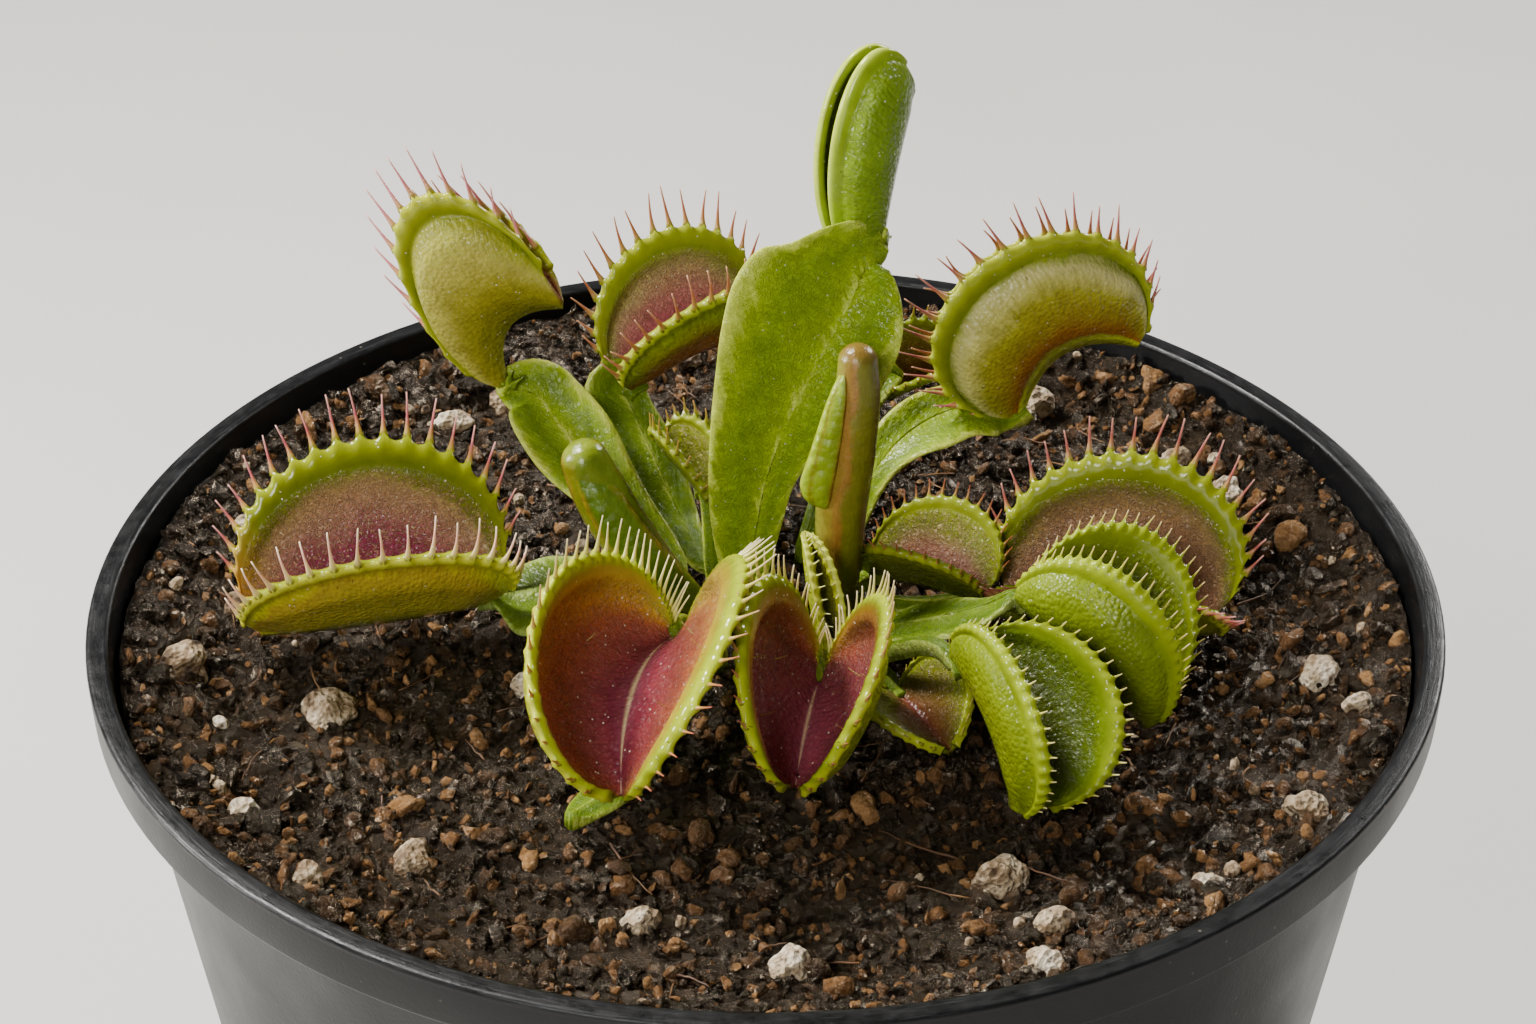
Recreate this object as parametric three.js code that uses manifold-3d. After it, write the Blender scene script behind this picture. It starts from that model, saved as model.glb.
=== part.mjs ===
import * as THREE from 'three';
import Module from 'manifold-3d';

// A small insect-eating plant in a round nursery pot. Millimetres, +Z up; the origin is the
// middle of the pot's foot. Every leaf is one body: a peg in the soil, a winged stalk and a
// trap of two lobes with teeth along their rims.

const wasm = await Module();
wasm.setup();

// Pot
const POT_HEIGHT = 104;
const RIM_RADIUS = 60;          // outside of the collar
const RIM_FACE = 2;             // width of the flat ring on top
const COLLAR_HEIGHT = 4;
const BODY_RADIUS = 57;         // outside, just under the collar
const FOOT_RADIUS = 42.5;
const WALL = 1.6;
const FLOOR = 2.4;
const FOOT_RING = 2;            // height of the ring the pot stands on
const FOOT_RING_WIDTH = 3;
const DRAIN_RADIUS = 3.2;
const DRAIN_CIRCLE = 27;
const DRAIN_COUNT = 6;
const POT_SIDES = 40;

// Soil
const SEAT = 0.3;               // gap left between pieces that rest on each other
const SOIL_TOP = 99.3;
const SOIL_RINGS = [10, 18, 26, 34, 42, 50];
const SOIL_SECTORS = 32;
const LUMP = 0.35;              // how far the surface rises and falls
const LEDGE = POT_HEIGHT - COLLAR_HEIGHT;             // the step inside the collar
const COLLAR_EDGE = RIM_RADIUS - RIM_FACE - 0.4 - SEAT;   // the soil's radius inside the collar
const BANK_START = 48;
const BANK_FRONT = 2.2;         // how far the soil climbs along the collar
const BANK_BACK = 3.2;
const PEG_DEPTH = 3.4;          // how far the foot of a leaf goes down into its hole
const HOLE_RADIUS = 1.45;
const HOLE_SIDES = 8;

// Pale grains in the soil: x, y and radius
const GRAINS = [
  [-29, -33, 1.7], [-43, -28, 1.4], [-37, -37, 1.3], [-38, -12, 2.2], [-51.5, -7, 2.3],
  [45, -28, 1.7], [49, -7, 1.8], [44, 23, 1.6], [40, 29, 1.6], [19, -36, 2], [23, -42, 1.6],
  [22, -48, 1.5], [-10, -41, 1.4], [-49, 16, 1.4], [-48, 4, 1.3], [36, -37, 1.3],
  [51.5, -13, 1.3], [-31, 37, 1.8], [-26, 41, 1.6], [-20, -9, 1.9], [2, -47, 1.5],
  [8, 44, 1.5], [27, 40, 1.7], [-8, 49, 1.3],
];

// Leaves. peg: where the leaf stands in the soil. face: the way the blade's upper side looks.
// cup: how far the wings fold up. ahead: how far each wing's shoulder runs past the stalk.
// crown: how sharp a shoulder is, the wing's width from which it is full, and how far it
// curls up. path: x, y, z along the midrib and the width of the wing on each side of it.
// trap: base and axis of the hinge, the way the lobes open, the hinge's length, the lobes'
// width, how far they reach past the hinge (ear), how round their ends are (oval), the
// hinge's arch, the lobes' slant (skew) and, for each lobe, its angles from the middle plane
// at the hinge and at the rim (gape) and its size (scale); then the number of teeth on a
// rim, their length and, for each lobe, how far they bend inward.
const LEAVES = {
  leaf_left: {
    colour: 'green', peg: [-8.2, 0.4], face: [0.1, -0.1, 0.99],
    cup: 0.1, ahead: [1, 1],
    path: [[-10.4, 0.2, 101.5, 3, 2], [-14.9, 0.8, 102.2, 7, 4.3], [-19.2, 1, 102.3, 7.7, 5],
      [-22.5, 1, 101.8, 4.8, 3.8]],
    trap: { base: [-24.6, 0.8, 101.8], axis: [-0.98, -0.2, -0.03], open: [-0.01, -0.11, 0.99],
      length: 20.6, width: 15.6, ear: 1.7, arch: -0.5, skew: -0.03,
      gape: [[0.58, 0.56], [0.57, 0.54]], teeth: 15, tooth: 3.6, bend: [1.05, 0.2] },
  },
  leaf_front_left: {
    colour: 'wine', peg: [-4.2, -4.6], face: [-0.28, 0.19, 0.94],
    cup: 0.2, ahead: [0, 0],
    path: [[-7.7, -10.2, 106.8, 1, 1.2]],
    trap: { base: [-7.5, -12.7, 106.5], axis: [-0.22, -0.96, -0.17], open: [-0.4, -0.07, 0.91],
      length: 18.4, width: 18.2, ear: 3, oval: 0.8, arch: 2.9, skew: 0.1,
      gape: [[1.04, 1.06], [1.16, -0.74]], scale: [1, 0.96], teeth: 16, tooth: 2.8,
      bend: [0.15, 0.15] },
  },
  leaf_front_centre: {
    colour: 'wine', peg: [1.6, -6.6], face: [0, 0.29, 0.96],
    cup: 0.2, ahead: [0, 0],
    path: [[3, -10.8, 105.4, 1, 1.1]],
    trap: { base: [4.6, -14.3, 103.3], axis: [-0.18, -0.95, -0.25], open: [-0.1, -0.24, 0.97],
      length: 11.6, width: 17.1, ear: 3, oval: 0.75, arch: 1, skew: 0.08,
      gape: [[0.87, 0.21], [0.45, 0]], teeth: 13, tooth: 2.4, bend: [0.45, 0.45] },
  },
  leaf_front_slim: {
    colour: 'young', peg: [5.4, -9.4], face: [0, -0.98, 0.2],
    cup: 0, ahead: [0, 0],
    path: [],
    trap: { base: [5.5, -9.1, 101.3], axis: [-0.18, 0.37, 0.91], open: [0.34, -0.85, 0.41],
      length: 11.8, width: 4, ear: 0, arch: 0.4, skew: 0.06, gape: [[1.05, -0.5], [1.05, -0.5]],
      teeth: 6, tooth: 0.9, bend: [0.2, 0.2] },
  },
  leaf_front_right: {
    colour: 'young', peg: [7, -7.2], face: [-0.29, 0.1, 0.95],
    cup: 0.2, ahead: [0, 0],
    path: [[10.7, -12.7, 105.4, 0.6, 0.3], [13.9, -16.8, 108.8, 0.6, 0.3]],
    trap: { base: [15.9, -19.2, 108.8], axis: [0.34, -0.77, -0.54], open: [0.62, -0.24, 0.74],
      length: 13.3, width: 12.2, ear: 1.6, arch: 1.6, skew: 0.12,
      gape: [[0.64, 0.19], [1.11, 0.02]], teeth: 14, tooth: 1.3, bend: [0.2, 0.2] },
  },
  leaf_front_right_small: {
    colour: 'green', peg: [8.4, -10.8], face: [0, -0.2, 0.98],
    cup: 0.1, ahead: [0, 0],
    path: [[9.7, -11.7, 102.2, 1.3, 1.4]],
    trap: { base: [11.3, -13.1, 101.3], axis: [0.42, -0.91, 0.04], open: [0.08, 0.08, 0.99],
      length: 10.1, width: 6.9, ear: 0.1, arch: 0.1, skew: 0.01, gape: [[0.56, 0.31], [1.16, 1.12]],
      teeth: 9, tooth: 0.9, bend: [0.4, 0.4] },
  },
  leaf_right: {
    colour: 'green', peg: [10.4, 2.2], face: [0, -0.1, 0.99],
    cup: 0.15, ahead: [0, 0],
    path: [[14.8, 1.2, 100.8, 1, 1.7], [18.9, 1.2, 101.5, 1, 1.4]],
    trap: { base: [22.3, 0.8, 100.6], axis: [0.98, -0.22, 0], open: [-0.04, -0.16, 0.99],
      length: 16.8, width: 15.6, ear: 2.5, arch: 0.2, skew: 0.11,
      gape: [[0.57, 0.44], [0.65, 0.55]], scale: [1, 0.72], teeth: 17, tooth: 3, bend: [0.2, 0.2] },
  },
  leaf_right_near: {
    colour: 'young', peg: [8.4, -3], face: [-0.1, -0.2, 0.98],
    cup: 0.25, ahead: [0, 0],
    path: [[9.2, -5.4, 101.9, 1, 0.5], [12.2, -7.6, 104.4, 2.3, 2.7], [15.9, -9.8, 106.7, 2.3, 3.8],
      [19.3, -11.8, 109.2, 1.2, 3.4]],
    trap: { base: [21.3, -12.8, 110.9], axis: [0.72, -0.34, -0.6], open: [0.6, -0.14, 0.79],
      length: 15.6, width: 12.5, ear: 0.3, arch: 0.4, skew: -0.13,
      gape: [[0.71, 0.47], [1.08, -0.57]], teeth: 15, tooth: 1.6, bend: [0.2, 0.2] },
  },
  leaf_right_dark: {
    colour: 'green', peg: [8, 5.2], face: [0, -0.2, 0.98],
    cup: 0, ahead: [0, 0],
    path: [],
    trap: { base: [10, 4.5, 102], axis: [0.84, -0.53, 0.12], open: [-0.11, 0.05, 0.99], length: 11,
      width: 8.4, ear: 1, arch: 0.3, skew: 0.07, gape: [[0.66, 0.64], [0.65, 0.71]], teeth: 10,
      tooth: 1.3, bend: [0.3, 0.3] },
  },
  leaf_back_left: {
    colour: 'olive', peg: [-8.2, 5.4], face: [0.25, -0.76, 0.6],
    cup: 0.35, ahead: [2.2, 4], crown: [1.6, 2, 0],
    path: [[-8.6, 7.5, 101.7, 1.4, 1.3], [-13.2, 12, 104.8, 3.1, 2.7], [-17.2, 16, 107.9, 4.5, 4.1],
      [-20.1, 18.7, 110.6, 4.2, 4], [-21.6, 19.8, 112.1, 2.9, 3]],
    trap: { base: [-24.1, 19.7, 112.6], axis: [0.49, -0.09, 0.86], open: [-0.79, 0.33, 0.49],
      length: 11.3, width: 17.3, ear: 1.5, arch: 3.4, skew: 0.36, gape: [[0.6, -0.6], [0.8, -0.1]],
      scale: [0.78, 1], teeth: 13, tooth: 4.2, bend: [0.25, 0.25] },
  },
  leaf_back_small: {
    colour: 'green', peg: [-4.4, 4], face: [0, -0.91, 0.41],
    cup: 0.2, ahead: [0, 0],
    path: [[-4.9, 4.8, 103.5, 0.7, 0.8]],
    trap: { base: [-5.2, 6.5, 108.6], axis: [-0.59, 0.73, 0.36], open: [0.11, -0.37, 0.92],
      length: 6.9, width: 6, ear: 0.7, arch: 0.3, skew: 0, gape: [[0.5, 0.25], [0.5, 0.25]],
      teeth: 7, tooth: 1.4, bend: [0.3, 0.3] },
  },
  leaf_back_centre: {
    colour: 'green', peg: [-4, 8], face: [0.3, -0.74, 0.6],
    cup: 0.3, ahead: [5, 0.5], crown: [1.6, 2, 0],
    path: [[-6.2, 9.6, 100.8, 1.4, 1.1], [-8.4, 15, 102.2, 3.1, 2], [-10.8, 18.5, 106.3, 4.2, 2.6],
      [-12.5, 21, 109.1, 4.1, 2.2], [-13.3, 22.2, 110.8, 3.8, 2]],
    trap: { base: [-12.5, 22.2, 111.2], axis: [0.87, 0.45, 0.2], open: [-0.15, -0.15, 0.98],
      length: 12.5, width: 13.2, ear: 2, arch: 1.2, skew: 0.05, gape: [[0.52, 0.22], [0.66, 0.54]],
      teeth: 13, tooth: 3.6, bend: [0.3, 0.8] },
  },
  leaf_tall: {
    colour: 'young', peg: [-1, 5.6], face: [0.1, -0.97, 0.24],
    cup: 0.35, ahead: [6.4, 2.4], crown: [0.6, 1.2, 0.8],
    path: [[-1.3, 5, 102.2, 2.7, 1.6], [-0.8, 5, 107.6, 4.5, 2.3], [0.2, 5.2, 112.8, 5.9, 2.8],
      [2, 5.6, 118.2, 7.8, 4.6], [4.1, 6.2, 122.7, 10, 6.1], [6.2, 7, 126.9, 11.3, 6],
      [7.7, 7.8, 129.8, 10, 4.6], [8.6, 8.1, 131.6, 6.5, 2.6], [9, 8.6, 131.9, 1.9, 0.9]],
    trap: { base: [9.65, 10.4, 131.7], axis: [0.19, 0.19, 0.96], open: [-0.82, -0.5, 0.26],
      length: 15, width: 9.8, ear: 1.8, arch: 0.7, skew: 0.42, gape: [[1.25, -1.02], [1.31, -1.2]],
      teeth: 0, tooth: 0, bend: [0.3, 0.3] },
  },
  leaf_back_hidden: {
    colour: 'green', peg: [3.6, 12], face: [-0.3, -0.81, 0.51],
    cup: 0.3, ahead: [0, 0],
    path: [[6.4, 16, 108.3, 0.9, 1.4], [9, 20, 111.1, 1.6, 2], [11.1, 22.5, 113.3, 2.1, 2.3]],
    trap: { base: [11.5, 23.1, 110.3], axis: [0.9, 0.4, 0.18], open: [0, -0.42, 0.91], length: 5.5,
      width: 6.4, ear: 1, arch: 0.3, skew: 0.1, gape: [[0.7, 0.4], [0.75, 0.45]], teeth: 4,
      tooth: 1.1, bend: [0.3, 0.3] },
  },
  leaf_back_right: {
    colour: 'olive', peg: [6, 8], face: [-0.25, -0.55, 0.8],
    cup: 0.45, ahead: [0.5, 0.5],
    path: [[7.3, 10, 103.4, 1.1, 2.2], [10.5, 13, 108.2, 2.4, 2.2], [13.8, 15.5, 110.6, 3, 4.4],
      [17.5, 17, 111.8, 2.6, 4.2], [20.8, 17.8, 111.6, 0.9, 3.7]],
    trap: { base: [23.3, 17.9, 110.5], axis: [0.85, 0.28, 0.46], open: [-0.39, 0.08, 0.92],
      length: 13.4, width: 18.2, ear: 3.7, oval: 0.85, arch: 3.6, skew: -0.08,
      gape: [[0.45, -0.6], [0.73, 0.02]], scale: [0.9, 1.03], teeth: 15, tooth: 3.4,
      bend: [0.25, 0.25] },
  },
  leaf_low_front: {
    colour: 'green', peg: [-6.4, -8.4], face: [0, -0.1, 1],
    cup: 0.1, ahead: [0, 0],
    path: [[-8.2, -13, 100.6, 0.8, 0.8], [-10.2, -20, 100.5, 1.2, 1.2], [-12.6, -25.6, 100.5, 2, 2],
      [-15, -28.8, 100.5, 1.5, 1.5], [-16.2, -30.2, 100.5, 0.7, 0.7]],
  },
};

const BLADE_EDGE = 0.62;        // thickness at the edge of a wing
const BLADE_WEB = 0.75;
const MIDRIB = 1.3;
const LOBE_WEB = 0.75;
const HINGE = 1.3;
const RIM = 1.05;
const SLIM = 0.8;               // a small trap's hinge, rim and teeth against a large one's
const LOBE_STEPS = [0, 0.3, 0.66, 0.84, 1];   // from the hinge to the rim
const SMALL_STEPS = [0, 0.35, 0.7, 1];
const PUFF = 0.9;               // how far a lobe swells out between its hinge and its crease
const CREASE = 0.5;             // how far the crease under the rim lies in
const CREASE_AT = 0.84;
const ROOT_SINK = 0.7;          // how deep a tooth's root lies in the rim
const ROOT_RADIUS = 0.42;
const TOOTH_SPREAD = 0.94;      // part of the rim that has teeth
const OVAL_CUT = 0.35;          // how much of the oval below the hinge a lobe keeps
const SMALL_TRAP = 9;           // traps narrower than this are built slimmer
const WING = [-1, -0.45, 0, 0.45, 1];   // places across a blade, from edge to edge
const PEG_HALF = 0.8;           // half the width of a leaf's foot

// Rolled young leaves: x, y, z and radius along each, foot first
const BUDS = {
  bud_left: {
    peg: [-4.6, 0.6],
    path: [[-6.4, 0.9, 101.4, 1.2], [-10.5, 1.8, 105.4, 1.9], [-13, 2.4, 108.7, 2.2],
      [-14.9, 2.8, 112.4, 2.15], [-16, 3, 115.2, 1.85]],
    flap: { from: 0.3, to: 0.97, side: [0.85, -0.5, 0.2], out: 1.5, width: 1 },
  },
  bud_centre: {
    peg: [7, -0.2],
    path: [[6.8, -0.8, 103.9, 1.3], [6.5, -1.6, 109.2, 1.8], [6.7, -1.5, 113.8, 2],
      [7.4, -1.3, 118.8, 1.9], [7.9, -1.1, 123.9, 1.75], [7.9, -0.9, 127.5, 1.5]],
    flap: { from: 0.5, to: 0.98, side: [-0.95, -0.3, 0], out: 2.5, width: 0.8 },
  },
};
const BUD_SIDES = 8;
const FLAP_ROWS = 6;

const v3 = (x, y, z) => new THREE.Vector3(x, y, z);
const polar = (radius, angle, z) => v3(radius * Math.cos(angle), radius * Math.sin(angle), z);

// Repeatable random numbers
function seeded(seed) {
  let state = seed;
  return () => {
    state = (state * 1664525 + 1013904223) % 4294967296;
    return state / 4294967296;
  };
}

function toSolid(vertices, triangles) {
  const mesh = new wasm.Mesh({
    numProp: 3,
    vertProperties: new Float32Array(vertices.flatMap((p) => [p.x, p.y, p.z])),
    triVerts: new Uint32Array(triangles.flat()),
  });
  const solid = new wasm.Manifold(mesh);
  if (solid.volume() > 0) return solid;
  mesh.triVerts = new Uint32Array(triangles.map(([a, b, c]) => [a, c, b]).flat());
  return new wasm.Manifold(mesh);
}

// Merges a shape's doubled corners, so that it is a closed body
function geometrySolid(geometry) {
  const position = geometry.getAttribute('position');
  const index = geometry.getIndex();
  const vertices = [];
  const seen = new Map();
  const remap = [];
  for (let i = 0; i < position.count; i++) {
    const p = v3(position.getX(i), position.getY(i), position.getZ(i));
    const key = [p.x, p.y, p.z].map((c) => Math.round(c * 1e4)).join();
    if (!seen.has(key)) {
      seen.set(key, vertices.length);
      vertices.push(p);
    }
    remap.push(seen.get(key));
  }
  const triangles = [];
  const count = index ? index.count : position.count;
  for (let i = 0; i < count; i += 3) {
    const [a, b, c] = [0, 1, 2].map((k) => remap[index ? index.getX(i + k) : i + k]);
    if (a !== b && b !== c && c !== a) triangles.push([a, b, c]);
  }
  return toSolid(vertices, triangles);
}

function solidMesh(name, solid, look) {
  const { vertProperties, triVerts } = solid.getMesh();
  const geometry = new THREE.BufferGeometry();
  geometry.setAttribute('position', new THREE.BufferAttribute(new Float32Array(vertProperties), 3));
  geometry.setIndex(new THREE.BufferAttribute(new Uint32Array(triVerts), 1));
  geometry.computeVertexNormals();
  const mesh = new THREE.Mesh(geometry, new THREE.MeshStandardMaterial(look));
  mesh.name = name;
  return mesh;
}

// A sheet with thickness. grid: rows of points on its middle surface. thickness(i, j) in mm.
// Both faces are split along the same diagonals.
function sheet(grid, thickness) {
  const rows = grid.length;
  const columns = grid[0].length;
  const at = (i, j) => grid[Math.min(rows - 1, Math.max(0, i))][Math.min(columns - 1, Math.max(0, j))];
  const upper = [];
  const lower = [];
  for (let i = 0; i < rows; i++) {
    for (let j = 0; j < columns; j++) {
      const along = at(i + 1, j).clone().sub(at(i - 1, j));
      const across = at(i, j + 1).clone().sub(at(i, j - 1));
      const normal = along.cross(across).normalize().multiplyScalar(thickness(i, j) / 2);
      upper.push(at(i, j).clone().add(normal));
      lower.push(at(i, j).clone().sub(normal));
    }
  }
  const half = rows * columns;
  const id = (i, j) => i * columns + j;
  const triangles = [];
  const quad = (a, b, c, d) => triangles.push([a, b, c], [a, c, d]);
  for (let i = 0; i < rows - 1; i++) {
    for (let j = 0; j < columns - 1; j++) {
      quad(id(i, j), id(i + 1, j), id(i + 1, j + 1), id(i, j + 1));
      triangles.push([half + id(i, j), half + id(i + 1, j + 1), half + id(i + 1, j)]);
      triangles.push([half + id(i, j), half + id(i, j + 1), half + id(i + 1, j + 1)]);
    }
  }
  for (let i = 0; i < rows - 1; i++) {
    quad(id(i, 0), half + id(i, 0), half + id(i + 1, 0), id(i + 1, 0));
    const k = columns - 1;
    quad(id(i, k), id(i + 1, k), half + id(i + 1, k), half + id(i, k));
  }
  for (let j = 0; j < columns - 1; j++) {
    quad(id(0, j), id(0, j + 1), half + id(0, j + 1), half + id(0, j));
    const k = rows - 1;
    quad(id(k, j), half + id(k, j), half + id(k, j + 1), id(k, j + 1));
  }
  return toSolid([...upper, ...lower], triangles);
}

// Smooth curve through rows of numbers, with steps points to each stretch
function smooth(knots, steps) {
  const last = knots.length - 1;
  const at = (i) => {
    if (i < 0) return knots[0].map((c, k) => 2 * c - knots[1][k]);
    if (i > last) return knots[last].map((c, k) => 2 * c - knots[last - 1][k]);
    return knots[i];
  };
  const out = [];
  for (let i = 0; i < last; i++) {
    const [a, b, c, d] = [at(i - 1), at(i), at(i + 1), at(i + 2)];
    for (let s = 0; s < steps; s++) {
      const t = s / steps;
      out.push(b.map((_, k) => 0.5 * (2 * b[k] + (c[k] - a[k]) * t
        + (2 * a[k] - 5 * b[k] + 4 * c[k] - d[k]) * t * t
        + (3 * b[k] - a[k] - 3 * c[k] + d[k]) * t * t * t)));
    }
  }
  out.push(knots[last]);
  return out;
}

// Unit vectors of a trap: along the hinge, sideways and the way it opens
function trapAxes(trap) {
  const along = v3(...trap.axis).normalize();
  const open = v3(...trap.open);
  open.addScaledVector(along, -open.dot(along)).normalize();
  return { along, open, side: open.clone().cross(along) };
}

// How far a lobe stands out of its plain arc: a pillow that ends in a crease under the rim
function swell(trap, s, t) {
  const { smoothstep } = THREE.MathUtils;
  const ends = smoothstep(Math.min(s, 1 - s), 0, 0.24);
  const pillow = smoothstep(t, 0.02, 0.26) * (1 - smoothstep(t, 0.7, CREASE_AT));
  const crease = Math.max(0, 1 - Math.abs(t - CREASE_AT) / (1 - CREASE_AT));
  const size = THREE.MathUtils.clamp((trap.width - 8) / 4, 0, 1);
  return ends * size * (PUFF * pillow - CREASE * crease);
}

// Point of a lobe: s runs along the hinge, t from the hinge to the rim
function lobePoint(trap, axes, sign, s, t) {
  const scale = (trap.scale ?? [1, 1])[sign > 0 ? 0 : 1];
  const width = trap.width * scale;
  const half = trap.length / 2;
  const reach = half + trap.ear * scale + 0.05;
  const cut = Math.sqrt(1 - (half / reach) ** 2);
  const centre = (width * cut) / (1 + cut);
  const dip = Math.asin(cut) * (trap.oval ?? OVAL_CUT);
  const turn = -dip + s * (Math.PI + 2 * dip);
  const rimHeight = centre + (width - centre) * Math.sin(turn);
  const rimX = half - reach * Math.cos(turn) + trap.skew * rimHeight;
  const hingeX = trap.length * s;
  const hingeHeight = trap.arch * 4 * s * (1 - s);
  const [start, end] = trap.gape[sign > 0 ? 0 : 1];
  const angle = start + (end - start) * t;
  const rise = (Math.sin(angle) - Math.sin(start)) / (end - start);
  const swing = (Math.cos(start) - Math.cos(angle)) / (end - start);
  const span = rimHeight - hingeHeight;
  const puff = swell(trap, s, t);
  return v3(...trap.base)
    .addScaledVector(axes.along, hingeX + (rimX - hingeX) * t)
    .addScaledVector(axes.open, hingeHeight + span * rise - puff * Math.sin(angle))
    .addScaledVector(axes.side, sign * (span * swing + puff * Math.cos(angle)));
}

// A three-sided spike with its root sunk in what it grows from
function spike(root, tip, radius) {
  const axis = tip.clone().sub(root).normalize();
  const across = axis.clone().cross(Math.abs(axis.z) < 0.9 ? v3(0, 0, 1) : v3(1, 0, 0)).normalize();
  const up = axis.clone().cross(across);
  const corners = [0, 1, 2].map((k) => {
    const angle = (k * 2 * Math.PI) / 3;
    return root.clone()
      .addScaledVector(across, radius * Math.cos(angle))
      .addScaledVector(up, radius * Math.sin(angle));
  });
  return toSolid([...corners, tip], [[0, 2, 1], [0, 1, 3], [1, 2, 3], [2, 0, 3]]);
}

function trapSolids(trap) {
  const axes = trapAxes(trap);
  const small = trap.width < SMALL_TRAP;
  const rows = small ? 6 : 9;     // along the hinge
  const build = small ? SLIM : 1;
  const places = small ? SMALL_STEPS : LOBE_STEPS;
  const steps = places.length - 1;
  const grid = [];
  for (let i = 0; i <= rows; i++) {
    const row = [];
    for (let j = -steps; j <= steps; j++) {
      row.push(lobePoint(trap, axes, Math.sign(j) || 1, i / rows, places[Math.abs(j)]));
    }
    grid.push(row);
  }
  const thickness = (i, j) => {
    if (j === steps) return HINGE * build;
    return Math.abs(j - steps) === steps ? RIM * build : LOBE_WEB;
  };
  const solids = [sheet(grid, thickness)];
  for (const sign of [-1, 1]) {
    const rimColumn = sign > 0 ? 2 * steps : 0;
    for (let k = 0; k < trap.teeth; k++) {
      const s = 0.5 + TOOTH_SPREAD * ((k + 0.5) / trap.teeth - 0.5);
      const row = Math.min(rows - 1, Math.floor(s * rows));
      const part = s * rows - row;
      const rim = grid[row][rimColumn].clone().lerp(grid[row + 1][rimColumn], part);
      const inner = grid[row][rimColumn - sign].clone().lerp(grid[row + 1][rimColumn - sign], part);
      const outward = rim.clone().sub(inner).normalize();
      const inward = axes.side.clone().multiplyScalar(-sign);
      inward.addScaledVector(outward, -inward.dot(outward)).normalize();
      const bend = trap.bend[sign > 0 ? 0 : 1];
      const length = trap.tooth * (0.55 + 0.45 * Math.sin(Math.PI * s));
      const root = rim.clone().addScaledVector(outward, -ROOT_SINK);
      const tip = rim.clone().addScaledVector(outward, length * Math.cos(bend))
        .addScaledVector(inward, length * Math.sin(bend));
      solids.push(spike(root, tip, ROOT_RADIUS * build));
    }
  }
  return solids;
}

// The stalk with its wings, from the peg in the soil to the start of the hinge
function stalkSolid(leaf) {
  const face = v3(...leaf.face).normalize();
  const [x, y] = leaf.peg;
  const foot = SOIL_TOP - PEG_DEPTH;
  const knots = [[x, y, SOIL_TOP + 1, 0.8, 0.8], ...leaf.path];
  if (leaf.trap) {
    const { along } = trapAxes(leaf.trap);
    const base = v3(...leaf.trap.base);
    knots.push([base.x, base.y, base.z, 0.7, 0.7]);
    const neck = base.addScaledVector(along, 1.3);
    knots.push([neck.x, neck.y, neck.z, 0.55, 0.55]);
  }
  const line = smooth(knots, knots.length > 6 ? 1 : 2);
  const points = line.map((k) => v3(k[0], k[1], k[2]));
  const widest = Math.max(...line.map((k) => Math.max(k[3], k[4])));
  const grid = [];
  const widths = [];
  let peg = null;
  points.forEach((point, i) => {
    const ahead = points[Math.min(points.length - 1, i + 1)];
    const behind = points[Math.max(0, i - 1)];
    const along = ahead.clone().sub(behind).normalize();
    const left = face.clone().cross(along).normalize();
    const up = along.clone().cross(left);
    const progress = i / (points.length - 1);
    peg ??= left.clone().setZ(0).normalize();
    const row = WING.map((f) => {
      const width = Math.max(0.6, f < 0 ? line[i][3] : line[i][4]);
      const [power, full, curl] = leaf.crown ?? [2, widest, 0];
      const sweep = (f < 0 ? leaf.ahead[0] : leaf.ahead[1]) * Math.abs(f) ** power * progress ** 3
        * Math.min(1, width / full);
      const fold = Math.min(1, width / 2) * leaf.cup;
      return point.clone()
        .addScaledVector(left, -f * width * Math.cos(fold))
        .addScaledVector(up, Math.abs(f) * width * Math.sin(fold))
        .addScaledVector(along, sweep * Math.cos(curl))
        .addScaledVector(face, sweep * Math.sin(curl));
    });
    grid.push(row);
    widths.push(Math.min(line[i][3], line[i][4]));
  });
  const straight = (z) => WING.map((f) => v3(x, y, z).addScaledVector(peg, -f * PEG_HALF));
  grid.unshift(straight(foot), straight(SOIL_TOP + 0.2));
  widths.unshift(PEG_HALF, PEG_HALF);
  return sheet(grid, (i, j) => {
    const narrow = THREE.MathUtils.clamp((1.6 - widths[i]) / 0.8, 0, 1);
    const edge = BLADE_EDGE + 0.3 * narrow;
    return [edge, BLADE_WEB + 0.35 * narrow, MIDRIB, BLADE_WEB + 0.35 * narrow, edge][j];
  });
}

// A round tapering rod through rings of corners, closed at both ends
function rod(points, radii, sides) {
  const vertices = [];
  const triangles = [];
  points.forEach((point, i) => {
    const ahead = points[Math.min(points.length - 1, i + 1)];
    const behind = points[Math.max(0, i - 1)];
    const along = ahead.clone().sub(behind).normalize();
    const across = v3(0, 1, 0).addScaledVector(along, -along.y).normalize();
    const up = along.clone().cross(across);
    for (let k = 0; k < sides; k++) {
      const angle = (k * 2 * Math.PI) / sides;
      vertices.push(point.clone()
        .addScaledVector(across, radii[i] * Math.cos(angle))
        .addScaledVector(up, radii[i] * Math.sin(angle)));
    }
  });
  const last = (points.length - 1) * sides;
  for (let i = 0; i < points.length - 1; i++) {
    for (let k = 0; k < sides; k++) {
      const [a, b] = [i * sides + k, i * sides + ((k + 1) % sides)];
      triangles.push([a, b, b + sides], [a, b + sides, a + sides]);
    }
  }
  for (let k = 1; k < sides - 1; k++) {
    triangles.push([0, k + 1, k], [last, last + k, last + k + 1]);
  }
  return toSolid(vertices, triangles);
}

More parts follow.
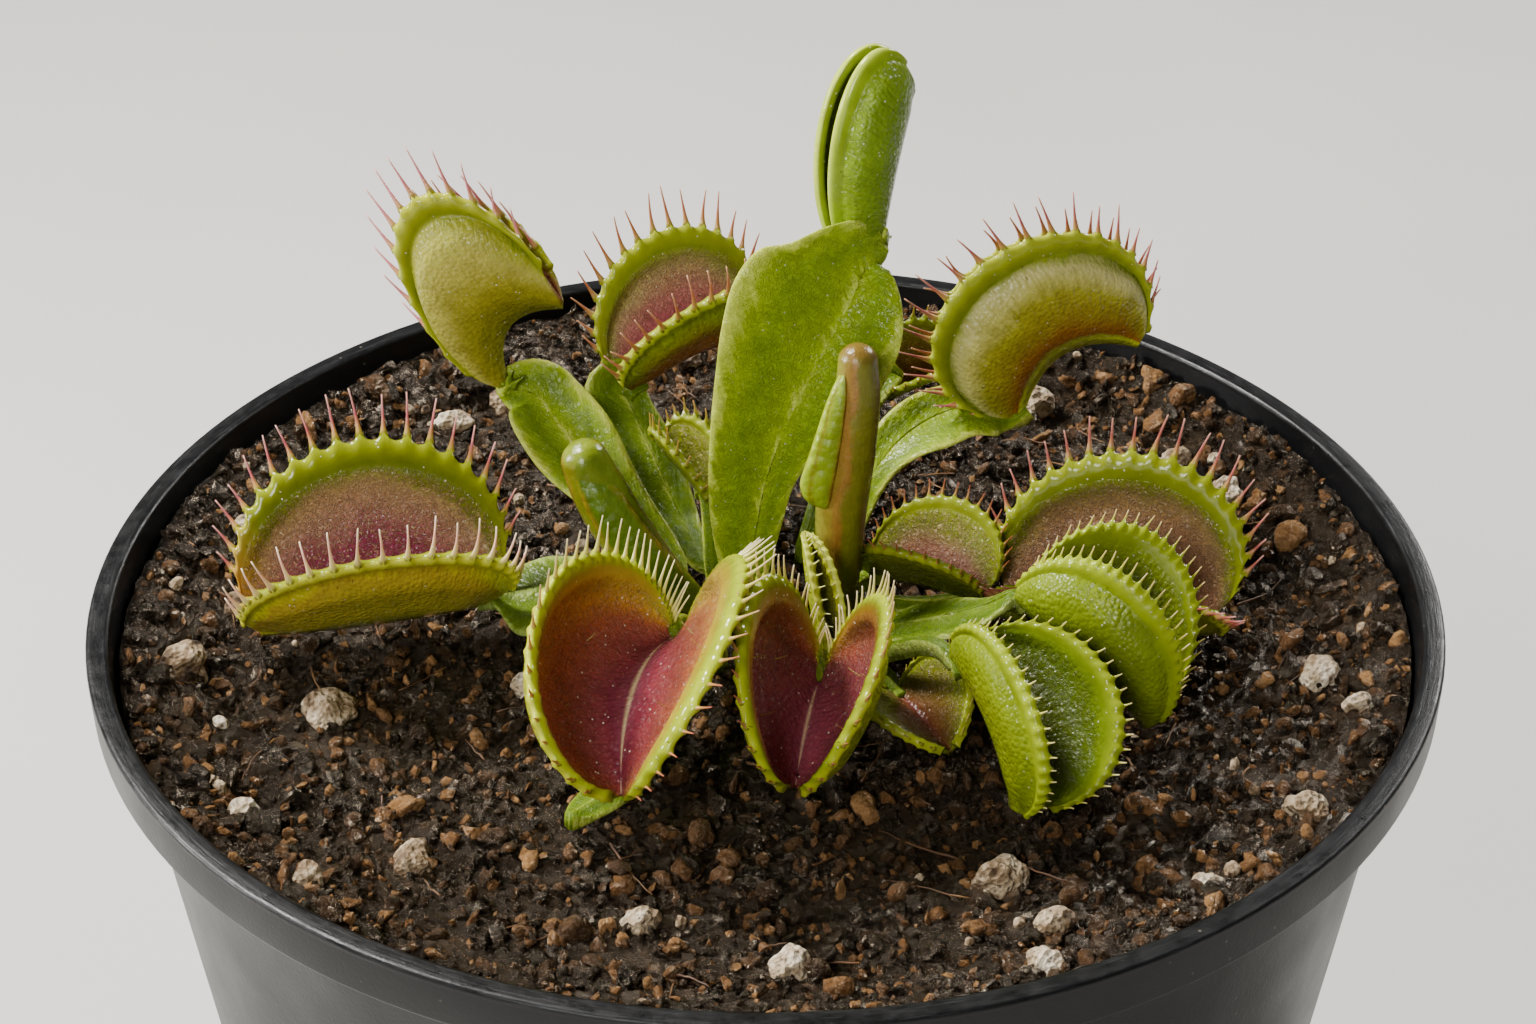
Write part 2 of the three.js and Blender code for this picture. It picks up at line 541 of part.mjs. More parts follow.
function budSolid(bud) {
  const [x, y] = bud.peg;
  const line = smooth([[x, y, SOIL_TOP + 1, 1], ...bud.path], 2);
  const points = line.map((k) => v3(k[0], k[1], k[2]));
  const radii = line.map((k) => k[3]);
  const end = points[points.length - 1];
  const along = end.clone().sub(points[points.length - 2]).normalize();
  const blunt = radii[radii.length - 1];
  points.push(end.clone().addScaledVector(along, blunt * 0.7), end.clone().addScaledVector(along, blunt));
  radii.push(blunt * 0.72, blunt * 0.25);
  points.unshift(v3(x, y, SOIL_TOP - PEG_DEPTH));
  radii.unshift(1);
  const stem = rod(points, radii, BUD_SIDES);

  const { from, to, side, out, width } = bud.flap;
  const lift = v3(...side).normalize();
  const front = along.clone().cross(lift).normalize();
  if (front.y > 0) front.negate();
  const grid = [];
  for (let i = 0; i <= FLAP_ROWS; i++) {
    const place = (from + ((to - from) * i) / FLAP_ROWS) * (line.length - 1);
    const k = Math.min(line.length - 2, Math.floor(place));
    const middle = points[k + 1].clone().lerp(points[k + 2], place - k);
    const radius = radii[k + 1];
    const rise = (i + 0.4) / 6.8;
    const bulge = (1 - rise) ** 0.6 * Math.min(1, rise / 0.15) ** 0.5;
    grid.push([0.1, 0.55, 1].map((f) => middle.clone()
      .addScaledVector(lift, (radius + out * bulge) * Math.sin((f * Math.PI) / 2))
      .addScaledVector(front, radius * 0.8 * Math.cos((f * Math.PI) / 2))));
  }
  return stem.add(sheet(grid, () => width));
}

function joined(solids) {
  return solids.reduce((whole, solid) => whole.add(solid));
}

// The lumpy top of the soil: low and even where leaves stand on it, banked up along the collar
function soilHeight(x, y) {
  const { smoothstep, clamp, lerp } = THREE.MathUtils;
  const radius = Math.hypot(x, y);
  const climb = smoothstep(radius, BANK_START, COLLAR_EDGE);
  const wave = Math.sin(x * 0.61 + 1.3) * Math.cos(y * 0.53 - 0.4) + 0.6 * Math.sin(x * 1.37 - y * 1.13);
  const lump = LUMP * smoothstep(radius, 10, 20) * (1 - climb) * clamp(wave * 0.8, -1, 1);
  return SOIL_TOP + lump + climb * lerp(BANK_FRONT, BANK_BACK, smoothstep(y, -30, 30));
}

function soilSolid() {
  const innerRadius = (z) => FOOT_RADIUS + ((BODY_RADIUS - FOOT_RADIUS) * z) / LEDGE - WALL - SEAT;
  const bottom = FOOT_RING + FLOOR + SEAT;
  const angles = Array.from({ length: SOIL_SECTORS }, (_, k) => (k * 2 * Math.PI) / SOIL_SECTORS);
  const vertices = [v3(0, 0, soilHeight(0, 0))];
  for (const radius of [...SOIL_RINGS, COLLAR_EDGE]) {
    for (const angle of angles) {
      const p = polar(radius, angle, 0);
      vertices.push(p.setZ(soilHeight(p.x, p.y)));
    }
  }
  const under = LEDGE - 1.3;
  const sides = [[COLLAR_EDGE, LEDGE + 0.45], [innerRadius(under), under], [innerRadius(bottom), bottom]];
  for (const [radius, z] of sides) {
    vertices.push(...angles.map((angle) => polar(radius, angle, z)));
  }
  vertices.push(v3(0, 0, bottom));
  const triangles = [];
  const rings = SOIL_RINGS.length + sides.length;
  for (let k = 0; k < SOIL_SECTORS; k++) {
    const n = (k + 1) % SOIL_SECTORS;
    triangles.push([0, 1 + k, 1 + n]);
    for (let i = 0; i < rings; i++) {
      const [a, b] = [1 + i * SOIL_SECTORS, 1 + (i + 1) * SOIL_SECTORS];
      triangles.push([a + k, b + k, b + n], [a + k, b + n, a + n]);
    }
    const foot = 1 + rings * SOIL_SECTORS;
    triangles.push([foot + k, vertices.length - 1, foot + n]);
  }
  let soil = toSolid(vertices, triangles);

  const random = seeded(7);
  for (const [x, y, radius] of GRAINS) {
    const grain = new THREE.IcosahedronGeometry(radius, 0);
    grain.rotateX(random() * 6);
    grain.rotateY(random() * 6);
    grain.scale(1, 0.8 + 0.3 * random(), 0.75 + 0.2 * random());
    grain.translate(x, y, soilHeight(x, y) + radius * 0.15);
    soil = soil.add(geometrySolid(grain));
  }
  for (const { peg: [x, y] } of [...Object.values(LEAVES), ...Object.values(BUDS)]) {
    const depth = PEG_DEPTH + SEAT;
    const hole = new THREE.CylinderGeometry(HOLE_RADIUS, HOLE_RADIUS, depth + 2, HOLE_SIDES);
    hole.rotateX(Math.PI / 2);
    hole.translate(x, y, SOIL_TOP - depth + (depth + 2) / 2);
    soil = soil.subtract(geometrySolid(hole));
  }
  return soil;
}

function potSolid() {
  const foot = FOOT_RING + FLOOR;
  const slope = (BODY_RADIUS - FOOT_RADIUS) / LEDGE;
  const outline = [
    [0, FOOT_RING], [FOOT_RADIUS - FOOT_RING_WIDTH, FOOT_RING], [FOOT_RADIUS - FOOT_RING_WIDTH, 0],
    [FOOT_RADIUS - 0.6, 0], [FOOT_RADIUS, 0.6],
    [BODY_RADIUS, LEDGE - 0.5], [RIM_RADIUS - 0.4, LEDGE - 0.5], [RIM_RADIUS, LEDGE],
    [RIM_RADIUS, POT_HEIGHT - 0.6], [RIM_RADIUS - 0.6, POT_HEIGHT],
    [RIM_RADIUS - RIM_FACE, POT_HEIGHT], [RIM_RADIUS - RIM_FACE - 0.4, LEDGE],
    [BODY_RADIUS - WALL, LEDGE - 1.6],
    [FOOT_RADIUS - WALL + slope * foot + 0.02, foot], [0, foot],
  ].map(([r, z]) => new THREE.Vector2(r, z));
  const shell = new THREE.LatheGeometry(outline, POT_SIDES);
  shell.rotateX(Math.PI / 2);
  let pot = geometrySolid(shell);
  for (let k = 0; k < DRAIN_COUNT; k++) {
    const place = polar(DRAIN_CIRCLE, (k * 2 * Math.PI) / DRAIN_COUNT, foot / 2);
    const drain = new THREE.CylinderGeometry(DRAIN_RADIUS, DRAIN_RADIUS, foot + 2, 10);
    drain.rotateX(Math.PI / 2);
    drain.translate(place.x, place.y, place.z);
    pot = pot.subtract(geometrySolid(drain));
  }
  return pot;
}

const LEAF_LOOKS = { roughness: 0.38, metalness: 0 };
const LEAF_COLOURS = {
  green: 0x6f8f1c,
  young: 0x86a822,
  olive: 0x8a8a2c,
  wine: 0x8a4a3a,
};

const plant = new THREE.Group();
plant.name = 'potted_flytrap';
plant.add(solidMesh('pot', potSolid(), { color: 0x1d1e20, roughness: 0.5, metalness: 0 }));
plant.add(solidMesh('soil', soilSolid(), { color: 0x2c2018, roughness: 0.95, metalness: 0 }));
for (const [name, leaf] of Object.entries(LEAVES)) {
  const pieces = [stalkSolid(leaf), ...(leaf.trap ? trapSolids(leaf.trap) : [])];
  plant.add(solidMesh(name, joined(pieces), { ...LEAF_LOOKS, color: LEAF_COLOURS[leaf.colour] }));
}
for (const [name, bud] of Object.entries(BUDS)) {
  plant.add(solidMesh(name, budSolid(bud), { ...LEAF_LOOKS, color: LEAF_COLOURS.olive }));
}

export default plant;
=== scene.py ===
import math

import bpy
import numpy as np
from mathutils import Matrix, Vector, noise


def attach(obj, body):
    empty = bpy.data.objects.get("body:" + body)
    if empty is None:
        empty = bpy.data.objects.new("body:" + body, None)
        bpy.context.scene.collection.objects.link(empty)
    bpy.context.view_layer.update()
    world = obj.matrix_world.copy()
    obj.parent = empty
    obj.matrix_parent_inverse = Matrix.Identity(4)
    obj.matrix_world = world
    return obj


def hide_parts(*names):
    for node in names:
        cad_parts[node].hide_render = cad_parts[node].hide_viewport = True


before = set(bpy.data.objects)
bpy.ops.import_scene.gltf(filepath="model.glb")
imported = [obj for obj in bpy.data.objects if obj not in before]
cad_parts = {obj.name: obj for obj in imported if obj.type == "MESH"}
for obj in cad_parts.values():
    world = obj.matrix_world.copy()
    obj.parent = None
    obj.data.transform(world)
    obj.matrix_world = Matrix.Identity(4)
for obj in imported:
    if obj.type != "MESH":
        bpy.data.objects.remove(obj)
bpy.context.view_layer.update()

# A small insect-eating plant in a round nursery pot. Its points are in millimetres until
# Shape.make turns them into metres; the stage is in metres.
MM = 0.001
ANY_PHASE = (0, 6.28)     # limits of a random phase, in radians
ANY_ANGLE = (0, 6.283)

# Pot and soil, with the same numbers as the solids
POT_HEIGHT = 104
RIM_RADIUS = 60
RIM_FACE = 2
COLLAR_HEIGHT = 4
LEDGE = POT_HEIGHT - COLLAR_HEIGHT      # height of the step inside the collar
BODY_RADIUS = 57
FOOT_RADIUS = 42.5
TAPER = (BODY_RADIUS - FOOT_RADIUS) / LEDGE
WALL = 1.6
FLOOR = 2.4
FOOT_RING = 2
FOOT_RING_WIDTH = 3
POT_SECTORS = 160
SEAT = 0.3                # gap between the soil and the pot
SOIL_TOP = 99.3
SOIL_EDGE = 57.3          # the soil's radius inside the collar
BANK_START = 48           # the radius where the soil starts to climb
BANK_FRONT = 2.2          # how far it climbs along the collar
BANK_BACK = 3.2
PEG_DEPTH = 3.4           # how far the foot of a leaf goes down into the soil
GRAINS = [
    (-29, -33, 1.7), (-43, -28, 1.4), (-37, -37, 1.3), (-38, -12, 2.2), (-51.5, -7, 2.3),
    (45, -28, 1.7), (49, -7, 1.8), (44, 23, 1.6), (40, 29, 1.6), (19, -36, 2), (23, -42, 1.6),
    (22, -48, 1.5), (-10, -41, 1.4), (-49, 16, 1.4), (-48, 4, 1.3), (36, -37, 1.3),
    (51.5, -13, 1.3), (-31, 37, 1.8), (-26, 41, 1.6), (-20, -9, 1.9), (2, -47, 1.5),
    (8, 44, 1.5), (27, 40, 1.7), (-8, 49, 1.3),
]

# The bed of soil and what lies loose on it
BED_RINGS = 135
BED_SECTORS = 360
CLOD_WAVES = ((0.36, 1.0), (0.8, 0.75), (1.9, 0.34))    # scale and height of the bed's clods
BEND_SHIFTS = (0, 31, 67)                               # for x, y and z of the clods' bend
CRUMB_SQUASH = (0.4, 1.15)
LOWEST_CRUMB = SOIL_TOP - 1.6           # crumbs that would lie lower are left out
CLODS = {                 # ball level, number, sizes, roughness, power towards small ones, lift
    "clods_large": (2, 260, (0.85, 1.6), 0.55, 1.8, 0.25),
    "clods_middle": (1, 2300, (0.45, 1.1), 0.6, 1.2, 0.6),
    "clods_small": (0, 8000, (0.22, 0.6), 0.6, 1.1, 1.0),
}
SMALL_GRAINS = 90
FIBRES = 110
FIBRE_FIELD = 52          # the radius within which fibres start
FIBRE_STEPS = 8

# Leaves, with the same numbers as the solids. peg: where the leaf stands. face: the way the
# blade's upper side looks. cup: how far its wings fold up. ahead: how far each wing's shoulder
# runs past the stalk. crown: how sharp a shoulder is, the width from which it is full, and its
# curl. path: x, y, z along the midrib and the wing's width on each side. trap: base and axis of
# the hinge, the way the lobes open, the hinge's length, the lobes' width, how far they reach
# past the hinge (ear), how round their ends are (oval), the hinge's arch, the lobes' slant
# (skew) and, for each lobe, its angles at the hinge and at the rim (gape) and its size
# (scale); then the number of teeth on a rim, their length and how far they bend inward.
LEAVES = {
    "leaf_left": dict(
        colour="green", peg=(-8.2, 0.4), face=(0.1, -0.1, 0.99), cup=0.1, ahead=(1, 1),
        path=[(-10.4, 0.2, 101.5, 3, 2), (-14.9, 0.8, 102.2, 7, 4.3), (-19.2, 1, 102.3, 7.7, 5),
            (-22.5, 1, 101.8, 4.8, 3.8)],
        trap=dict(base=(-24.6, 0.8, 101.8), axis=(-0.98, -0.2, -0.03), open=(-0.01, -0.11, 0.99),
            length=20.6, width=15.6, ear=1.7, arch=-0.5, skew=-0.03, gape=((0.58, 0.56), (0.57, 0.54)),
            teeth=15, tooth=3.6, bend=(1.05, 0.2))),
    "leaf_front_left": dict(
        colour="wine", peg=(-4.2, -4.6), face=(-0.28, 0.19, 0.94), cup=0.2,
        path=[(-7.7, -10.2, 106.8, 1, 1.2)],
        trap=dict(base=(-7.5, -12.7, 106.5), axis=(-0.22, -0.96, -0.17), open=(-0.4, -0.07, 0.91),
            length=18.4, width=18.2, ear=3, oval=0.8, arch=2.9, skew=0.1,
            gape=((1.04, 1.06), (1.16, -0.74)), scale=(1, 0.96), teeth=16, tooth=2.8,
            bend=(0.15, 0.15))),
    "leaf_front_centre": dict(
        colour="wine", peg=(1.6, -6.6), face=(0, 0.29, 0.96), cup=0.2,
        path=[(3, -10.8, 105.4, 1, 1.1)],
        trap=dict(base=(4.6, -14.3, 103.3), axis=(-0.18, -0.95, -0.25), open=(-0.1, -0.24, 0.97),
            length=11.6, width=17.1, ear=3, oval=0.75, arch=1, skew=0.08,
            gape=((0.87, 0.21), (0.45, 0)), teeth=13, tooth=2.4, bend=(0.45, 0.45))),
    "leaf_front_slim": dict(
        colour="young", peg=(5.4, -9.4), face=(0, -0.98, 0.2),
        trap=dict(base=(5.5, -9.1, 101.3), axis=(-0.18, 0.37, 0.91), open=(0.34, -0.85, 0.41),
            length=11.8, width=4, ear=0, arch=0.4, skew=0.06, gape=((1.05, -0.5), (1.05, -0.5)),
            teeth=6, tooth=0.9, bend=(0.2, 0.2))),
    "leaf_front_right": dict(
        colour="young", peg=(7, -7.2), face=(-0.29, 0.1, 0.95), cup=0.2,
        path=[(10.7, -12.7, 105.4, 0.6, 0.3), (13.9, -16.8, 108.8, 0.6, 0.3)],
        trap=dict(base=(15.9, -19.2, 108.8), axis=(0.34, -0.77, -0.54), open=(0.62, -0.24, 0.74),
            length=13.3, width=12.2, ear=1.6, arch=1.6, skew=0.12, gape=((0.64, 0.19), (1.11, 0.02)),
            teeth=14, tooth=1.3, bend=(0.2, 0.2), plump=0.45)),
    "leaf_front_right_small": dict(
        colour="green", peg=(8.4, -10.8), face=(0, -0.2, 0.98), cup=0.1,
        path=[(9.7, -11.7, 102.2, 1.3, 1.4)],
        trap=dict(base=(11.3, -13.1, 101.3), axis=(0.42, -0.91, 0.04), open=(0.08, 0.08, 0.99),
            length=10.1, width=6.9, ear=0.1, arch=0.1, skew=0.01, gape=((0.56, 0.31), (1.16, 1.12)),
            teeth=9, tooth=0.9, bend=(0.4, 0.4))),
    "leaf_right": dict(
        colour="green", peg=(10.4, 2.2), face=(0, -0.1, 0.99), cup=0.15,
        path=[(14.8, 1.2, 100.8, 1, 1.7), (18.9, 1.2, 101.5, 1, 1.4)],
        trap=dict(base=(22.3, 0.8, 100.6), axis=(0.98, -0.22, 0), open=(-0.04, -0.16, 0.99),
            length=16.8, width=15.6, ear=2.5, arch=0.2, skew=0.11, gape=((0.57, 0.44), (0.65, 0.55)),
            scale=(1, 0.72), teeth=17, tooth=3, bend=(0.2, 0.2))),
    "leaf_right_near": dict(
        colour="young", peg=(8.4, -3), face=(-0.1, -0.2, 0.98), cup=0.25,
        path=[(9.2, -5.4, 101.9, 1, 0.5), (12.2, -7.6, 104.4, 2.3, 2.7), (15.9, -9.8, 106.7, 2.3, 3.8),
            (19.3, -11.8, 109.2, 1.2, 3.4)],
        trap=dict(base=(21.3, -12.8, 110.9), axis=(0.72, -0.34, -0.6), open=(0.6, -0.14, 0.79),
            length=15.6, width=12.5, ear=0.3, arch=0.4, skew=-0.13, gape=((0.71, 0.47), (1.08, -0.57)),
            teeth=15, tooth=1.6, bend=(0.2, 0.2), plump=0.45)),
    "leaf_right_dark": dict(
        colour="green", peg=(8, 5.2), face=(0, -0.2, 0.98),
        trap=dict(base=(10, 4.5, 102), axis=(0.84, -0.53, 0.12), open=(-0.11, 0.05, 0.99), length=11,
            width=8.4, ear=1, arch=0.3, skew=0.07, gape=((0.66, 0.64), (0.65, 0.71)), teeth=10,
            tooth=1.3, bend=(0.3, 0.3))),
    "leaf_back_left": dict(
        colour="olive", peg=(-8.2, 5.4), face=(0.25, -0.76, 0.6), cup=0.35, ahead=(2.2, 4),
        crown=(1.6, 2, 0),
        path=[(-8.6, 7.5, 101.7, 1.4, 1.3), (-13.2, 12, 104.8, 3.1, 2.7), (-17.2, 16, 107.9, 4.5, 4.1),
            (-20.1, 18.7, 110.6, 4.2, 4), (-21.6, 19.8, 112.1, 2.9, 3)],
        trap=dict(base=(-24.1, 19.7, 112.6), axis=(0.49, -0.09, 0.86), open=(-0.79, 0.33, 0.49),
            length=11.3, width=17.3, ear=1.5, arch=3.4, skew=0.36, gape=((0.6, -0.6), (0.8, -0.1)),
            scale=(0.78, 1), teeth=13, tooth=4.2, bend=(0.25, 0.25))),
    "leaf_back_small": dict(
        colour="green", peg=(-4.4, 4), face=(0, -0.91, 0.41), cup=0.2,
        path=[(-4.9, 4.8, 103.5, 0.7, 0.8)],
        trap=dict(base=(-5.2, 6.5, 108.6), axis=(-0.59, 0.73, 0.36), open=(0.11, -0.37, 0.92),
            length=6.9, width=6, ear=0.7, arch=0.3, skew=0, gape=((0.5, 0.25), (0.5, 0.25)), teeth=7,
            tooth=1.4, bend=(0.3, 0.3))),
    "leaf_back_centre": dict(
        colour="green", peg=(-4, 8), face=(0.3, -0.74, 0.6), cup=0.3, ahead=(5, 0.5), crown=(1.6, 2, 0),
        path=[(-6.2, 9.6, 100.8, 1.4, 1.1), (-8.4, 15, 102.2, 3.1, 2), (-10.8, 18.5, 106.3, 4.2, 2.6),
            (-12.5, 21, 109.1, 4.1, 2.2), (-13.3, 22.2, 110.8, 3.8, 2)],
        trap=dict(base=(-12.5, 22.2, 111.2), axis=(0.87, 0.45, 0.2), open=(-0.15, -0.15, 0.98),
            length=12.5, width=13.2, ear=2, arch=1.2, skew=0.05, gape=((0.52, 0.22), (0.66, 0.54)),
            teeth=13, tooth=3.6, bend=(0.3, 0.8))),
    "leaf_tall": dict(
        colour="young", peg=(-1, 5.6), face=(0.1, -0.97, 0.24), cup=0.35, ahead=(6.4, 2.4),
        crown=(0.6, 1.2, 0.8),
        path=[(-1.3, 5, 102.2, 2.7, 1.6), (-0.8, 5, 107.6, 4.5, 2.3), (0.2, 5.2, 112.8, 5.9, 2.8),
            (2, 5.6, 118.2, 7.8, 4.6), (4.1, 6.2, 122.7, 10, 6.1), (6.2, 7, 126.9, 11.3, 6),
            (7.7, 7.8, 129.8, 10, 4.6), (8.6, 8.1, 131.6, 6.5, 2.6), (9, 8.6, 131.9, 1.9, 0.9)],
        trap=dict(base=(9.65, 10.4, 131.7), axis=(0.19, 0.19, 0.96), open=(-0.82, -0.5, 0.26),
            length=15, width=9.8, ear=1.8, arch=0.7, skew=0.42, gape=((1.25, -1.02), (1.31, -1.2)),
            teeth=0, tooth=0, bend=(0.3, 0.3))),
    "leaf_back_hidden": dict(
        colour="green", peg=(3.6, 12), face=(-0.3, -0.81, 0.51), cup=0.3,
        path=[(6.4, 16, 108.3, 0.9, 1.4), (9, 20, 111.1, 1.6, 2), (11.1, 22.5, 113.3, 2.1, 2.3)],
        trap=dict(base=(11.5, 23.1, 110.3), axis=(0.9, 0.4, 0.18), open=(0, -0.42, 0.91), length=5.5,
            width=6.4, ear=1, arch=0.3, skew=0.1, gape=((0.7, 0.4), (0.75, 0.45)), teeth=4, tooth=1.1,
            bend=(0.3, 0.3))),
    "leaf_back_right": dict(
        colour="olive", peg=(6, 8), face=(-0.25, -0.55, 0.8), cup=0.45, ahead=(0.5, 0.5),
        path=[(7.3, 10, 103.4, 1.1, 2.2), (10.5, 13, 108.2, 2.4, 2.2), (13.8, 15.5, 110.6, 3, 4.4),
            (17.5, 17, 111.8, 2.6, 4.2), (20.8, 17.8, 111.6, 0.9, 3.7)],
        trap=dict(base=(23.3, 17.9, 110.5), axis=(0.85, 0.28, 0.46), open=(-0.39, 0.08, 0.92),
            length=13.4, width=18.2, ear=3.7, oval=0.85, arch=3.6, skew=-0.08,
            gape=((0.45, -0.6), (0.73, 0.02)), scale=(0.9, 1.03), teeth=15, tooth=3.4,
            bend=(0.25, 0.25))),
    "leaf_low_front": dict(
        colour="green", peg=(-6.4, -8.4), face=(0, -0.1, 1), cup=0.1,
        path=[(-8.2, -13, 100.6, 0.8, 0.8), (-10.2, -20, 100.5, 1.2, 1.2), (-12.6, -25.6, 100.5, 2, 2),
            (-15, -28.8, 100.5, 1.5, 1.5), (-16.2, -30.2, 100.5, 0.5, 0.5)]),
}
BUDS = {
    "bud_left": dict(
        peg=(-4.6, 0.6),
        path=[(-6.4, 0.9, 101.4, 1.2), (-10.5, 1.8, 105.4, 1.9), (-13, 2.4, 108.7, 2.2),
            (-14.9, 2.8, 112.4, 2.15), (-16, 3, 115.2, 1.85)],
        wing=dict(start=0.3, end=0.97, side=(0.85, -0.5, 0.2), out=1.5, wrap=0.1)),
    "bud_centre": dict(
        peg=(7, -0.2),
        path=[(6.8, -0.8, 103.9, 1.3), (6.5, -1.6, 109.2, 1.8), (6.7, -1.5, 113.8, 2),
            (7.4, -1.3, 118.8, 1.9), (7.9, -1.1, 123.9, 1.75), (7.9, -0.9, 127.5, 1.5)],
        wing=dict(start=0.5, end=0.98, side=(-0.95, -0.3, 0), out=2.5, wrap=1.0)),
}
SLOTS = {"young": "leaf_young", "green": "leaf_green", "olive": "leaf_olive", "wine": "leaf_wine"}
HAIRS = {"leaf_left", "leaf_front_left", "leaf_front_centre", "leaf_right", "leaf_back_centre"}

# Colours as sRGB. inside and outside run from the hinge to the rim, tooth from root to tip,
# low_tooth is for the near end of a rim and plus_tooth for one of the two lobes. stalk has the
# blade's low, middle and high tones. denser, reach, least, outward, fringe, fine, scallop and
# gather shape the teeth; the other numbers are strengths of what leaf_material draws, among
# them painted glint dots, painted highlights on the crinkles and the glands' pale tint, which is
# partly painted highlight.
# Shared by the two wine-red traps in front
WINE = dict(
    denser=1.9, wrinkle=0.35, scallop=0.5, glint_dots=1.0, fine=0.85, low_tooth=[(0, "a0a82c"),
    (0.3, "a47c40"), (1, "9c4c40")])
